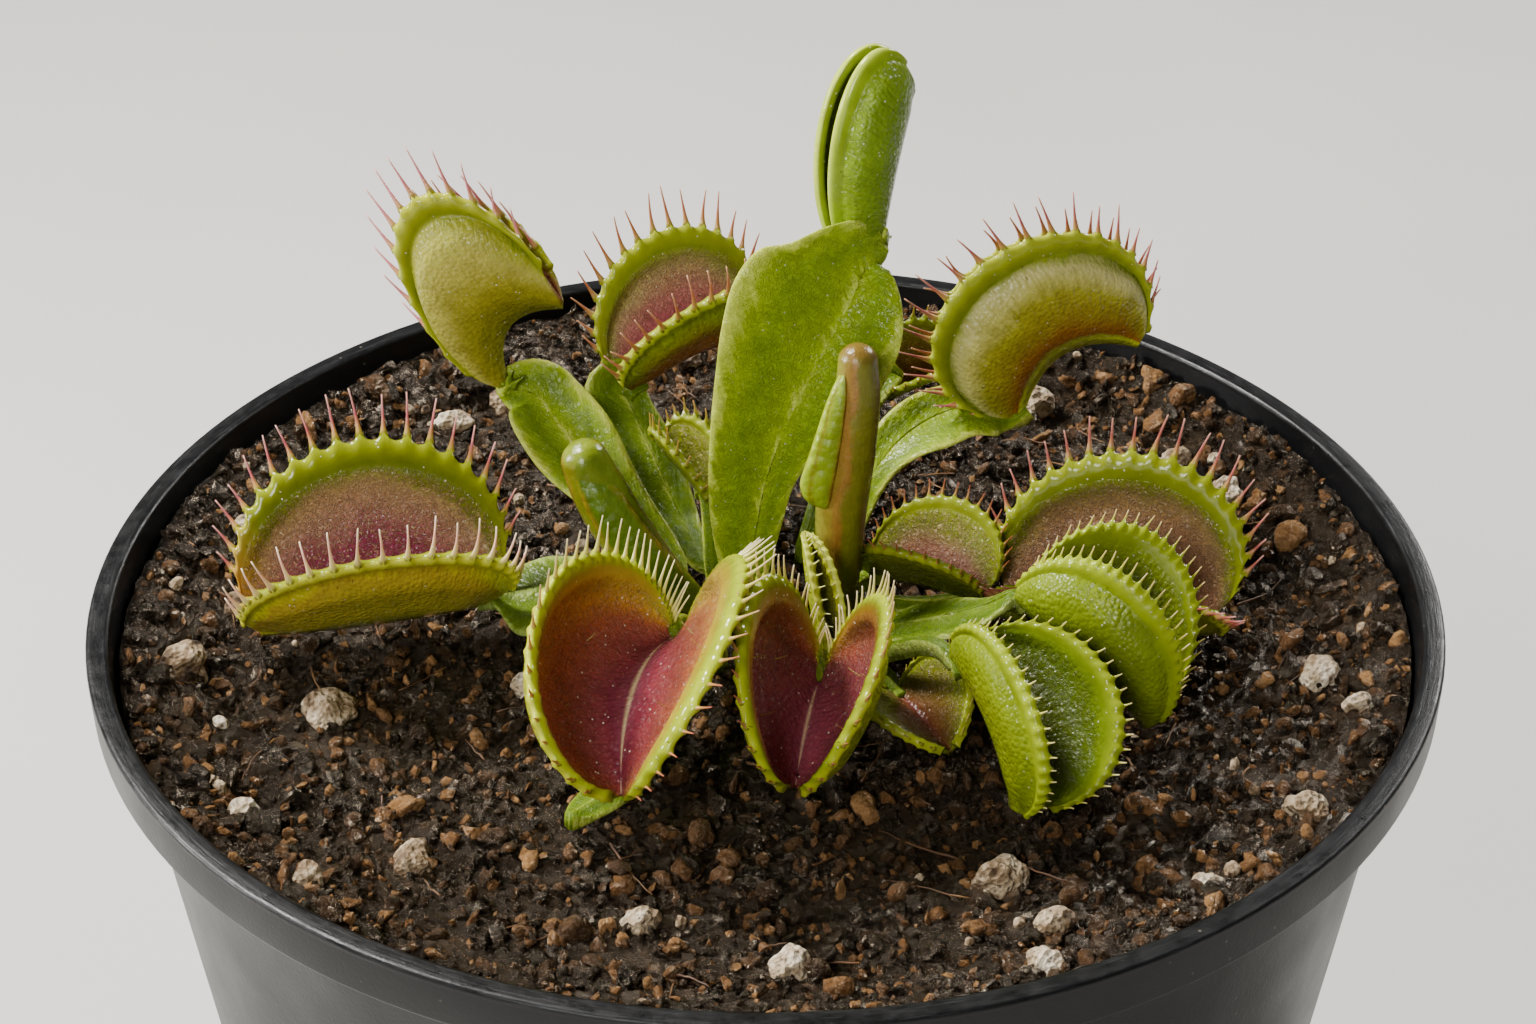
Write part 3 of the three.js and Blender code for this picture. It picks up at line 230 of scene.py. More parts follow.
# Shared by the two glossy traps in front of the right one
GLOSSY = dict(
    fine=0.75, gland_and_glint_tint=0.04, crinkle=0.02, wrinkle=0.1, ribs=0.15, bumps=0.15, blade_glints=0.9,
    stalk=("48600c", "607414", "96a44c"))
LOOKS = {
    "leaf_left": dict(
        blush="b07434", denser=1.25, scallop=0.95, wrinkle=1.5, crinkle=0.7, ends=0.26, gland_and_glint_tint=0.1,
        glint_dots=0.9, stalk=("44580c", "5c7014", "96a850"), blade_glints=0.8,
        inside=[(0, "701838"), (0.25, "782044"), (0.45, "86364e"), (0.58, "96645a"), (0.72, "a0805c"),
            (0.79, "94844c"), (0.84, "646e12"), (0.88, "5c6608"), (1, "8a9210")],
        outside=[(0, "b0bc34"), (0.12, "acb42a"), (0.3, "a8a028"), (0.6, "a69a2c"), (0.8, "a08a28"),
            (0.88, "b0b024"), (1, "c8c83c")],
        tooth=[(0, "a4a82c"), (0.2, "b08448"), (0.5, "b0505c"), (1, "d89c98")],
        plus_tooth=[(0, "b8b844"), (0.25, "d4b884"), (0.6, "dc9c8c"), (1, "ecd4b8")]),
    "leaf_front_left": dict(
        **WINE, least=1.3, outward=1.5, fringe=1.1, gather=1.7,
        inside=[(0, "c8b084"), (0.03, "7c3c48"), (0.12, "6c2834"), (0.3, "7c3232"), (0.5, "944a32"),
            (0.68, "a2702a"), (0.84, "9c8022"), (0.91, "8e861c"), (0.94, "84900f"), (1, "a2b018")],
        outside=[(0, "74640f"), (0.6, "868a16"), (1, "b0b42c")],
        tooth=[(0, "b0b430"), (0.25, "c8c468"), (0.7, "e0d090"), (1, "ecdcb0")]),
    "leaf_front_centre": dict(
        **WINE, least=0.9, outward=1.2, fringe=1.1, gather=1.6,
        inside=[(0, "bca07c"), (0.03, "7c3c48"), (0.15, "74303c"), (0.5, "6c2a2e"), (0.74, "844028"),
            (0.86, "84581e"), (0.92, "827418"), (0.95, "7c8810"), (1, "9eaa1c")],
        outside=[(0, "66600f"), (0.6, "7c8014"), (1, "acb02a")],
        tooth=[(0, "a8b02e"), (0.25, "c0bc60"), (0.7, "dcc488"), (1, "e4cca8")]),
    "leaf_front_slim": dict(
        denser=2.6, scallop=0.3, reach=0.9, fine=0.75,
        inside=[(0, "666a0f"), (1, "989c24")],
        outside=[(0, "62680c"), (0.6, "828816"), (0.9, "90981e"), (1, "c0c44c")],
        tooth=[(0, "bcc04c"), (1, "dcd88c")]),
    "leaf_front_right": dict(
        **GLOSSY, denser=1.6, scallop=0.35, reach=0.66, glint_dots=0.35,
        inside=[(0, "4c380c"), (0.3, "3c440a"), (0.75, "485808"), (0.86, "5a6c0c"), (1, "84901a")],
        outside=[(0, "566208"), (0.45, "7c8814"), (0.8, "70800c"), (1, "8c9a1a")],
        tooth=[(0, "98a422"), (0.5, "b0ac44"), (1, "d8c488")]),
    "leaf_front_right_small": dict(
        denser=1.6, scallop=0.3, fine=0.8,
        inside=[(0, "602820"), (0.4, "5c4c18"), (0.75, "626c14"), (1, "8c9424")],
        outside=[(0, "404608"), (0.6, "5c640f"), (1, "8a9020")],
        tooth=[(0, "8c9024"), (1, "ac9450")]),
    "leaf_right": dict(
        denser=1.2, wrinkle=1.3, scallop=0.9, ends=0.15, glint_dots=0.9,
        inside=[(0, "7c3c34"), (0.3, "905848"), (0.62, "a87c5c"), (0.78, "988048"), (0.86, "68720a"),
            (1, "929c1a")],
        outside=[(0, "646a0f"), (0.6, "7e8416"), (1, "9ca024")],
        tooth=[(0, "a0a428"), (0.2, "a87c48"), (0.5, "a4504c"), (1, "cc8c84")]),
    "leaf_right_near": dict(
        **GLOSSY, denser=1.7, scallop=0.4, reach=0.72, glint_dots=0.45,
        inside=[(0, "445008"), (0.5, "5e6c0e"), (0.86, "6c7a0c"), (1, "92a01c")],
        outside=[(0, "465408"), (0.5, "6c7c14"), (0.84, "6c7c0e"), (1, "96a41e")],
        tooth=[(0, "94a220"), (0.5, "aca444"), (1, "d0b080")]),
    "leaf_right_dark": dict(
        denser=1.7, wrinkle=0.7, scallop=0.35, glint_dots=0.35, gland_and_glint_tint=0.05,
        inside=[(0, "643632"), (0.45, "6c4634"), (0.65, "5a5c16"), (1, "7c861a")],
        outside=[(0, "484e0a"), (0.6, "60660f"), (1, "82881e")],
        tooth=[(0, "888c20"), (0.4, "906430"), (1, "90483c")]),
    "leaf_back_left": dict(
        denser=1.0, scallop=0.5,
        inside=[(0, "782c28"), (0.6, "885434"), (1, "909020")],
        outside=[(0, "949440"), (0.06, "767018"), (0.3, "8c8424"), (0.6, "a8a048"), (0.8, "96962e"),
            (0.87, "6e7810"), (1, "a8ac2c")],
        tooth=[(0, "9c9c26"), (0.15, "ac8454"), (0.4, "b4646c"), (1, "d09c98")]),
    "leaf_back_small": dict(
        inside=[(0, "545810"), (1, "7c841e")],
        outside=[(0, "444c0c"), (1, "747c1a")],
        tooth=[(0, "767c1c"), (1, "9c7044")]),
    "leaf_back_centre": dict(
        denser=1.3, wrinkle=0.6, scallop=0.6,
        inside=[(0, "802c38"), (0.3, "9c4c58"), (0.5, "a86c64"), (0.66, "a08c60"), (0.78, "8a9040"),
            (0.86, "68740f"), (1, "969e24")],
        outside=[(0, "803c14"), (0.5, "88541a"), (0.78, "6c7412"), (1, "98a022")],
        tooth=[(0, "949c26"), (0.2, "a07844"), (0.5, "9c5840"), (1, "bc8878")]),
    "leaf_tall": dict(
        quilt=0.7, gloss=0.07, blade_glints=0.5, stalk=("7a960c", "92aa12", "c4d250"),
        inside=[(0, "54680a"), (1, "7c8e18")],
        outside=[(0, "54700a"), (0.45, "64800c"), (0.8, "748c12"), (0.92, "88a01c"), (1, "bccc4c")],
        tooth=[(0, "a0a82c"), (1, "d0cc84")]),
    "leaf_back_hidden": dict(
        denser=2.4,
        inside=[(0, "603014"), (0.6, "6c5c18"), (1, "7c8820")],
        outside=[(0, "5c3014"), (0.6, "646018"), (1, "7c8820")],
        tooth=[(0, "7c8420"), (1, "a07844")]),
    "leaf_back_right": dict(
        denser=1.35, scallop=0.6,
        inside=[(0, "6c3c18"), (1, "909424")],
        outside=[(0, "b4bc34"), (0.14, "a0a624"), (0.2, "8c5414"), (0.28, "905e16"), (0.4, "907c18"),
            (0.6, "9c9628"), (0.7, "b4ac58"), (0.78, "bcb470"), (0.85, "707c10"), (1, "a6ae2e")],
        tooth=[(0, "9ca428"), (0.2, "a47844"), (0.5, "9c5050"), (1, "c08880")]),
    "leaf_low_front": dict(
        inside=[(0, "44540a"), (1, "566812")],
        outside=[(0, "44540a"), (1, "566812")],
        tooth=[(0, "606c14"), (1, "606c14")]),
}
BUD_LOOKS = {
    "bud_left": dict(
        tip="728018",
        around=[(0, "56680f"), (0.2, "8a6418"), (0.28, "7a5a16"), (0.36, "6c6c12"), (0.5, "5a6c0e"),
            (0.72, "647412"), (0.84, "8a6418"), (0.95, "56680f")],
        wing_colours=[(0.1, "7a6816"), (0.22, "4e660c"), (0.75, "567010"), (0.9, "7a7818"),
            (1.0, "a8802c")]),
    "bud_centre": dict(
        tip="70581e",
        around=[(0, "5c5a12"), (0.3, "84842a"), (0.42, "826a24"), (0.47, "8e6428"), (0.52, "6e6a16"),
            (0.62, "646212"), (0.7, "544010"), (0.8, "5c4412"), (0.92, "5c5a12")],
        wing_colours=[(0.1, "8a6420"), (0.22, "7c8c1c"), (0.45, "88a020"), (0.62, "7c7c1c"),
            (0.7, "8aa01c"), (0.92, "9cae26"), (1.0, "b4bc44")]),
}
STALKS = {
    "young": ("5e780a", "7e9410", "b0c044"),
    "green": ("546c0c", "6e8414", "a0ac40"),
    "olive": ("647a0e", "849a16", "b0b846"),
    "wine": ("586c0e", "748616", "a4ac40"),
}

# Lobes of a trap. t runs from 0 at the hinge to 1 at the rim
LOBE_WEB = 0.5            # thickness between hinge and rim
LOBE_KEEL = 1.15          # thickness at the hinge
LOBE_RIM = 1.0
KEEL_WIDTH = 0.07
RIM_START = (0.84, 0.93)  # where a lobe thickens into its rim
RIM_ROUND = 0.94          # where the rim starts to round off
LOBE_STEPS = [*np.linspace(0, 0.78, 12),
              0.81, 0.83, 0.85, 0.875, 0.9, 0.925, 0.95, 0.97, 0.985, 0.996, 1.0]
OVAL_CUT = 0.35           # how round the ends of a lobe are where the table doesn't say
PUFF = 0.9                # height of the pillow on a lobe
PUFF_START = (0.02, 0.26)
PUFF_END = 0.7
PUFF_SIDE = 0.24          # the part of the hinge over which the pillow fades at each end
FLAT_TRAP = 8             # traps of this width or less have no pillow
FULL_TRAP = 12            # traps of this width or more have all of it
CREASE = 0.5              # depth of the crease under the rim
CREASE_AT = 0.84
SLIM = 0.8                # how thick a small trap is, against the others
SMALL_TRAP = 9            # traps narrower than this are built slimmer

# Teeth and trigger hairs
DENSER = 1.5              # teeth here for each tooth of the solids
TOOTH_ROWS = 4            # rows of faces from tooth to tooth
TOOTH_SPREAD = 0.94       # part of the rim that has teeth
END_ROWS = np.array([0, 0.25, 0.5, 0.75])     # rows beyond the comb, as parts of what is left
PLAIN_ROWS = 64           # rows on a rim without teeth
TOOTH_REACH = 1.15
TOOTH_LEAST = 0.5
TOOTH_SIDES = 7
TOOTH_ROOT = 0.5          # how far a tooth starts inside the rim
SCALLOP = 0.75            # how far the rim rises to each tooth
SCALLOP_FROM = 0.86
CREST = 0.42              # how much thicker the rim is at a tooth
CREST_START = (0.9, 0.98)
CREST_POWER = 1.4
HAIR_FEET = ((0.36, 0.42), (0.64, 0.42), (0.5, 0.62))
HAIR_LENGTH = 1.7
HAIR_RADIUS = 0.07

# Blades and rolled leaves
BLADE_COLUMNS = 25
PEG_HALF = 0.8
RIPPLE = 0.6              # height of the waves at a blade's edge
BUD_SIDES = 26
BUD_SWELL = 1.14          # rolled leaves are this much fuller than the plain rod
WING_ROWS = 44
WING_COLUMNS = 14


class Shape:
    """Vertices in millimetres, faces and per-vertex numbers, gathered before one mesh is made."""

    KEYS = ("s", "t", "inner", "trap", "tooth", "wing")

    def __init__(self):
        self.points = []
        self.faces = {4: [], 3: []}
        self.values = {key: [] for key in self.KEYS}
        self.count = 0

    def add(self, points, quads=(), tris=(), **values):
        points = np.asarray(points, float).reshape(-1, 3)
        self.points.append(points)
        for corners, faces in ((4, quads), (3, tris)):
            if len(faces):
                self.faces[corners].append(np.asarray(faces) + self.count)
        for key in self.KEYS:
            value = np.asarray(values.get(key, 0.0), float).reshape(-1)
            self.values[key].append(np.broadcast_to(value, len(points)))
        self.count += len(points)

    def make(self, name, material, slot, node=None, keep=(), smooth_faces=True):
        mesh = bpy.data.meshes.new(name)
        points = np.concatenate(self.points) * MM
        mesh.vertices.add(len(points))
        mesh.vertices.foreach_set("co", points.ravel())
        faces = [face for corners in (4, 3) for face in self.faces[corners]]
        sizes = np.concatenate([np.full(len(face), face.shape[1]) for face in faces])
        mesh.loops.add(int(sizes.sum()))
        corners = np.concatenate([face.ravel() for face in faces])
        mesh.loops.foreach_set("vertex_index", corners.astype(np.int32))
        mesh.polygons.add(len(sizes))
        mesh.polygons.foreach_set("loop_start", (np.cumsum(sizes) - sizes).astype(np.int32))
        mesh.update(calc_edges=True)
        mesh.polygons.foreach_set("use_smooth", np.full(len(sizes), smooth_faces))
        for key in keep:
            layer = mesh.attributes.new(key, "FLOAT", "POINT")
            layer.data.foreach_set("value", np.concatenate(self.values[key]).astype(np.float32))
        mesh.validate()
        piece = bpy.data.objects.new(name, mesh)
        bpy.context.scene.collection.objects.link(piece)
        mesh.materials.append(material)
        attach(piece, "root")
        if node:
            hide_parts(node)


def unit(v):
    return v / np.maximum(np.linalg.norm(v, axis=-1, keepdims=True), 1e-9)


def circle(sides):
    angle = np.arange(sides) * 2 * math.pi / sides
    return np.stack([np.cos(angle), np.sin(angle)], -1)


def ease(value, low, high):
    """0 at low, 1 at high, level at both."""
    x = np.clip((value - low) / (high - low), 0, 1)
    return x * x * (3 - 2 * x)


def round_off(value, start, least):
    """1 up to start, then falls along a quarter circle towards 0 where value is 1."""
    return np.sqrt(np.maximum(1 - np.clip((value - start) / (1 - start), 0, 1) ** 2, least))


def add_sheet(shape, middle, half, upper_inner, **values):
    """A closed shell round a grid of points, half the thickness to each side of it."""
    rows, columns = middle.shape[:2]
    n = rows * columns
    normal = unit(np.cross(np.gradient(middle, axis=0), np.gradient(middle, axis=1)))
    offset = normal * half[..., None]
    i = np.arange(n).reshape(rows, columns)
    quads = np.stack([i[:-1, :-1], i[1:, :-1], i[1:, 1:], i[:-1, 1:]], -1).reshape(-1, 4)
    edges = [(i[:-1, 0], i[1:, 0]), (i[1:, -1], i[:-1, -1]), (i[0, 1:], i[0, :-1]), (i[-1, :-1], i[-1, 1:])]
    walls = [np.stack([a, a + n, b + n, b], -1) for a, b in edges]
    both = {key: np.tile(np.broadcast_to(v, (rows, columns)).ravel(), 2) for key, v in values.items()}
    both["inner"] = np.repeat([upper_inner, 1 - upper_inner], n)
    faces = np.concatenate([quads, quads[:, ::-1] + n, *walls])
    shape.add(np.stack([middle + offset, middle - offset]), quads=faces, **both)


def add_tube(shape, rings, first, last, inside_out=False, **values):
    """A skin over rings of points, closed with one more point at each end."""
    count, sides = rings.shape[:2]
    i = np.arange(count * sides).reshape(count, sides)
    j = np.roll(i, -1, axis=1)
    quads = np.stack([i[:-1], j[:-1], j[1:], i[1:]], -1).reshape(-1, 4)
    start = np.full(sides, count * sides)
    tris = np.concatenate([np.stack([j[0], i[0], start], -1), np.stack([i[-1], j[-1], start + 1], -1)])
    if inside_out:
        quads, tris = quads[:, [0, 3, 2, 1]], tris[:, ::-1]
    shape.add(np.concatenate([rings.reshape(-1, 3), [first, last]]), quads=quads, tris=tris, **values)


def add_rod(shape, line, radii, sides, **values):
    """A closed round rod along a line of points."""
    line = np.asarray(line, float)
    along = unit(np.gradient(line, axis=0))
    across = unit(np.array([0.0, 1.0, 0.0]) - along * along[:, 1:2])
    up = np.cross(along, across)
    cos, sin = circle(sides)[:, :1], circle(sides)[:, 1:]
    rings = line[:, None] + (across[:, None] * cos + up[:, None] * sin) * radii[:, None, None]
    spread = {}
    for key, value in values.items():
        value = np.asarray(value, float)
        if value.ndim:
            value = np.broadcast_to(value.reshape(len(line), -1), (len(line), sides))
            value = np.append(value.ravel(), [value[0].mean(), value[-1].mean()])
        spread[key] = value
    add_tube(shape, rings, line[0], line[-1], **spread)


def smooth(knots, steps):
    """Catmull-Rom curve through rows of numbers."""
    knots = np.asarray(knots, float)
    ends = np.concatenate([[2 * knots[0] - knots[1]], knots, [2 * knots[-1] - knots[-2]]])
    t = (np.arange(steps) / steps)[:, None]
    out = []
    for a, b, c, d in zip(ends, ends[1:], ends[2:], ends[3:]):
        square = 2 * a - 5 * b + 4 * c - d
        cube = 3 * b - a - 3 * c + d
        out.append(0.5 * (2 * b + (c - a) * t + square * t**2 + cube * t**3))
    return np.concatenate([*out, knots[-1:]])


def trap_axes(trap):
    along = unit(np.array(trap["axis"], float))
    opening = np.array(trap["open"], float)
    opening = unit(opening - along * (opening @ along))
    return along, opening, np.cross(opening, along)


def of_lobe(pair, sign):
    """The one of two values that belongs to a lobe."""
    return pair[0 if sign > 0 else 1]


def swell(trap, s, t):
    """How far a lobe stands out of its plain arc: a pillow that ends in a crease under the rim."""
    ends = ease(np.minimum(s, 1 - s), 0, PUFF_SIDE)
    pillow = ease(t, *PUFF_START) * (1 - ease(t, PUFF_END, CREASE_AT))
    crease = np.maximum(0, 1 - np.abs(t - CREASE_AT) / (1 - CREASE_AT))
    size = np.clip((trap["width"] - FLAT_TRAP) / (FULL_TRAP - FLAT_TRAP), 0, 1)
    return ends * size * trap.get("plump", 1) * (PUFF * pillow - CREASE * crease)


def lobe_points(trap, sign, s, t):
    """Points of a lobe's middle surface, as in the solids: s along the hinge, t out to the rim."""
    along, opening, side = trap_axes(trap)
    scale = of_lobe(trap.get("scale", (1, 1)), sign)
    width, half = trap["width"] * scale, trap["length"] / 2
    reach = half + trap["ear"] * scale + 0.05
    cut = math.sqrt(1 - (half / reach) ** 2)
    centre = width * cut / (1 + cut)
    dip = math.asin(cut) * trap.get("oval", OVAL_CUT)
    turn = -dip + s * (math.pi + 2 * dip)
    rim_height = centre + (width - centre) * np.sin(turn)
    rim_x = half - reach * np.cos(turn) + trap["skew"] * rim_height
    hinge_x = trap["length"] * s
    hinge_height = trap["arch"] * 4 * s * (1 - s)
    start, end = of_lobe(trap["gape"], sign)
    angle = start + (end - start) * t
    rise = (np.sin(angle) - math.sin(start)) / (end - start)
    swing = (math.cos(start) - np.cos(angle)) / (end - start)
    span = rim_height - hinge_height
    puff = swell(trap, s, t)
    return (np.array(trap["base"], float)
            + along * (hinge_x + (rim_x - hinge_x) * t)[..., None]
            + opening * (hinge_height + span * rise - puff * np.sin(angle))[..., None]
            + side * (sign * (span * swing + puff * np.cos(angle)))[..., None])


def rim_rows(teeth):
    """Places along the hinge, dense enough for the scallops."""
    if not teeth:
        return np.linspace(0, 1, PLAIN_ROWS)
    steps = teeth * TOOTH_ROWS
    comb = 0.5 + TOOTH_SPREAD * (np.arange(steps + 1) / steps - 0.5)
    end = (1 - TOOTH_SPREAD) / 2 * END_ROWS
    return np.concatenate([end, comb, 1 - end[::-1]])


def add_trap(shape, trap, look, rng):
    """Both lobes as one sheet, thin in the web and thick at the hinge and rim, with their teeth."""
    build = SLIM if trap["width"] < SMALL_TRAP else 1
    teeth = round(trap["teeth"] * look.get("denser", DENSER))
    rows = rim_rows(teeth)
    place, t = np.meshgrid(rows, LOBE_STEPS, indexing="ij")
    s = place ** look.get("gather", 1)
    crest = np.zeros_like(s)
    if teeth:
        phase = (place - 0.5) / TOOTH_SPREAD * teeth + teeth / 2 - 0.5
        crest = (1 - np.abs(np.sin(math.pi * phase))) ** CREST_POWER
    keel = (LOBE_KEEL - LOBE_WEB) * np.exp(-(t / KEEL_WIDTH) ** 2)
    half = (LOBE_WEB + keel + (LOBE_RIM - LOBE_WEB) * ease(t, *RIM_START)) * build / 2
    half = half * round_off(t, RIM_ROUND, 0.02) * (1 + CREST * crest * ease(t, *CREST_START))
    pull = np.clip((t - SCALLOP_FROM) / (1 - SCALLOP_FROM), 0, 1) ** 2
    raised = look.get("scallop", SCALLOP) * build * crest * pull
    lobes = {}
    outward = {}
    for sign in (1, -1):
        points = lobe_points(trap, sign, s, t)
        outward[sign] = unit(points[:, -1] - points[:, -4])
        lobes[sign] = points + outward[sign][:, None] * raised[..., None]

    def across(left, right):
        return np.concatenate([left[:, ::-1], right[:, 1:]], axis=1)

    add_sheet(shape, across(lobes[-1], lobes[1]), across(half, half), 1,
              s=across(s, s), t=across(t, t), trap=1.0)
    first = len(END_ROWS) + TOOTH_ROWS // 2
    for sign in (1, -1):
        for k in range(first, first + teeth * TOOTH_ROWS, TOOTH_ROWS):
            rim = lobes[sign][k - 1:k + 2, -1]
            add_tooth(shape, trap, look, rng, sign, s[k, -1], rim, outward[sign][k], build)


def add_tooth(shape, trap, look, rng, sign, at, rim, out, build):
    """One tooth at the middle of three points of the rim, where out is the way out of the lobe."""
    _, _, side = trap_axes(trap)
    inward = -side * sign
    inward = unit(inward - out * (inward @ out))
    along = unit(rim[2] - rim[0])
    bend = of_lobe(trap["bend"], sign) * rng.uniform(0.7, 1.25)
    arch = 0.55 + 0.45 * math.sin(math.pi * at) + look.get("fringe", 0) * (0.4 - at)
    length = look.get("reach", TOOTH_REACH) * trap["tooth"] * arch * rng.uniform(0.82, 1.1)
    length = max(length, look.get("least", TOOTH_LEAST))
    lean = rng.uniform(-0.14, 0.14)
    u = np.linspace(0, 1, 9)
    angle = bend * (0.6 + 0.8 * u) * (1 - look.get("outward", 0) * at)
    steps_out = np.cumsum(np.cos(angle)) / len(u)
    steps_in = np.cumsum(np.sin(angle)) / len(u)
    line = (rim[1] - out * TOOTH_ROOT * build
            + out * (length + TOOTH_ROOT) * (steps_out - steps_out[0])[:, None]
            + inward * length * (steps_in - steps_in[0])[:, None]
            + along * (lean * length * u**1.5)[:, None])
    radius = (0.06 + 0.1 * (1 - u) + 0.26 * (1 - u) ** 5) * build * look.get("fine", 1)
    add_rod(shape, line, radius, TOOTH_SIDES, s=at, t=1.0, trap=1.0, tooth=0.02 + 0.98 * u,
            inner=0.5 + 0.2 * sign)


def add_hairs(shape, trap):
    """Three trigger hairs on the inner face of each lobe."""
    for sign in (1, -1):
        for s, t in HAIR_FEET:
            foot, out, aside = (lobe_points(trap, sign, np.array(a), np.array(b))
                                for a, b in ((s, t), (s, t + 0.02), (s + 0.02, t)))
            slope = unit(out - foot)
            up = np.cross(unit(aside - foot), slope) * sign
            u = np.linspace(0, 1, 5)
            line = foot + up * (u * HAIR_LENGTH)[:, None] + slope * (0.3 * u**2)[:, None]
            radius = HAIR_RADIUS * (1 - 0.8 * u)
            add_rod(shape, line, radius, 5, s=s, t=t, trap=1.0, tooth=0.35, inner=1.0)


def stalk_line(leaf):
    """Points along a midrib, and the wing's width on each side of it."""
    path = leaf.get("path", ())
    knots = [[*leaf["peg"], SOIL_TOP + 1, 0.8, 0.8], *path]
    if "trap" in leaf:
        along, _, _ = trap_axes(leaf["trap"])
        base = np.array(leaf["trap"]["base"], float)
        knots.append([*base, 0.7, 0.7])
        knots.append([*(base + along * 1.3), 0.55, 0.55])
    line = smooth(knots, 6 if len(path) > 2 else 9)
    return line[:, :3], np.maximum(line[:, 3:], 0.5)


def add_stalk(shape, leaf, rng):
    """The peg and the blade with its two wings. f runs from -1 at one edge to 1 at the other."""
    points, widths = stalk_line(leaf)
    face = unit(np.array(leaf["face"], float))
    along = unit(np.gradient(points, axis=0))
    left = unit(np.cross(face, along))
    up = np.cross(along, left)
    progress = np.linspace(0, 1, len(points))[:, None]
    f = np.linspace(-1, 1, BLADE_COLUMNS)[None]
    wing = np.abs(f)
    width = np.where(f < 0, widths[:, :1], widths[:, 1:])
    ahead = np.where(f < 0, *leaf.get("ahead", (0, 0)))
    power, full, curl = leaf.get("crown", (2, widths.max(), 0))
    sweep = ahead * wing ** power * progress ** 3 * np.minimum(1, width / full)
    fold = np.minimum(1, width / 2) * leaf.get("cup", 0)
    phase = rng.uniform(*ANY_PHASE, 4)
    wave = np.sin(progress * 17 + phase[0]) * 0.5 + np.sin(progress * 31 + phase[1]) * 0.28
    wave = np.where(f < 0, wave, np.roll(wave, 7, axis=0))
    wave = wave * np.clip((width - 1.6) / 4, 0, 1) * wing ** 3 * RIPPLE
    blade = (points[:, None]
             - left[:, None] * (f * width * np.cos(fold))[..., None]
             + up[:, None] * (wing * width * np.sin(fold) + wave)[..., None]
             + along[:, None] * (sweep * math.cos(curl))[..., None]
             + face * (sweep * math.sin(curl))[..., None])
    foot = np.array([[*leaf["peg"], SOIL_TOP - PEG_DEPTH], [*leaf["peg"], SOIL_TOP + 0.2]])
    peg = foot[:, None] - unit(left[0] * [1, 1, 0]) * (f * PEG_HALF)[..., None]
    size = np.concatenate([np.full((2, BLADE_COLUMNS), PEG_HALF), width])
    progress = np.concatenate([np.zeros((2, 1)), progress])
    distance = wing * size
    half = 0.24 + 0.42 * np.exp(-(distance / 0.75) ** 2) + 0.22 * np.clip((1.6 - size) / 0.8, 0, 1)
    add_sheet(shape, np.concatenate([peg, blade]), half * round_off(wing, 0.9, 0.05), 0,
              s=progress, t=distance / 10, wing=0.02 + 0.98 * wing)


def add_bud(shape, bud):
    """A rolled young leaf: a round rod with a blunt tip, and one wing that lies along it."""
    x, y = bud["peg"]
    line = smooth([[x, y, SOIL_TOP + 1, 1.0], *bud["path"]], 6)
    points, radii = line[:, :3], line[:, 3]
    tip = unit(points[-1] - points[-2])
    cap = np.linspace(0.15, 0.99, 7)
    blunt = points[-1] + tip * (cap * radii[-1])[:, None]
    rod = np.concatenate([[[x, y, SOIL_TOP - PEG_DEPTH]], points, blunt])
    size = np.concatenate([[1.0], radii * BUD_SWELL, radii[-1] * BUD_SWELL * np.sqrt(1 - cap**2)])
    turn = np.broadcast_to(np.arange(BUD_SIDES) / BUD_SIDES, (len(rod), BUD_SIDES))
    add_rod(shape, rod, size, BUD_SIDES, s=np.linspace(0, 1, len(rod)), t=turn)

    wing = bud["wing"]
    lift = unit(np.array(wing["side"], float))
    front = unit(np.cross(tip, lift))
    front = front * (-1 if front[1] > 0 else 1)
    rise = np.linspace(0, 1, WING_ROWS)[:, None]
    f = np.linspace(0, 1, WING_COLUMNS)[None]
    place = wing["start"] + (wing["end"] - wing["start"]) * rise[:, 0]
    base = np.stack([np.interp(place, np.linspace(0, 1, len(line)), column) for column in line.T], -1)
    stem = base[:, 3:] * BUD_SWELL * 0.93
    bulge = (1 - rise) ** 0.7 * np.sin(np.minimum(1, rise / 0.24) * math.pi / 2) ** 0.6
    reach = base[:, 3:] * (0.7 + 0.2 * bulge) + (wing["out"] + 0.3) * bulge
    root = stem * math.sin(wing["wrap"])
    aside = root + (reach - root) * np.sin(f * math.pi / 2)
    ahead = stem * math.cos(wing["wrap"]) * np.cos(f * math.pi / 2)
    middle = base[:, None, :3] + lift * aside[..., None] + front * ahead[..., None]
    ends = np.sqrt(np.clip(np.minimum(rise / 0.08, (1 - rise) / 0.3), 0.03, 1))
    add_sheet(shape, middle, 0.5 * round_off(f, 0.65, 0.04) * ends, 0, s=rise, t=0.5, wing=0.1 + 0.9 * f)


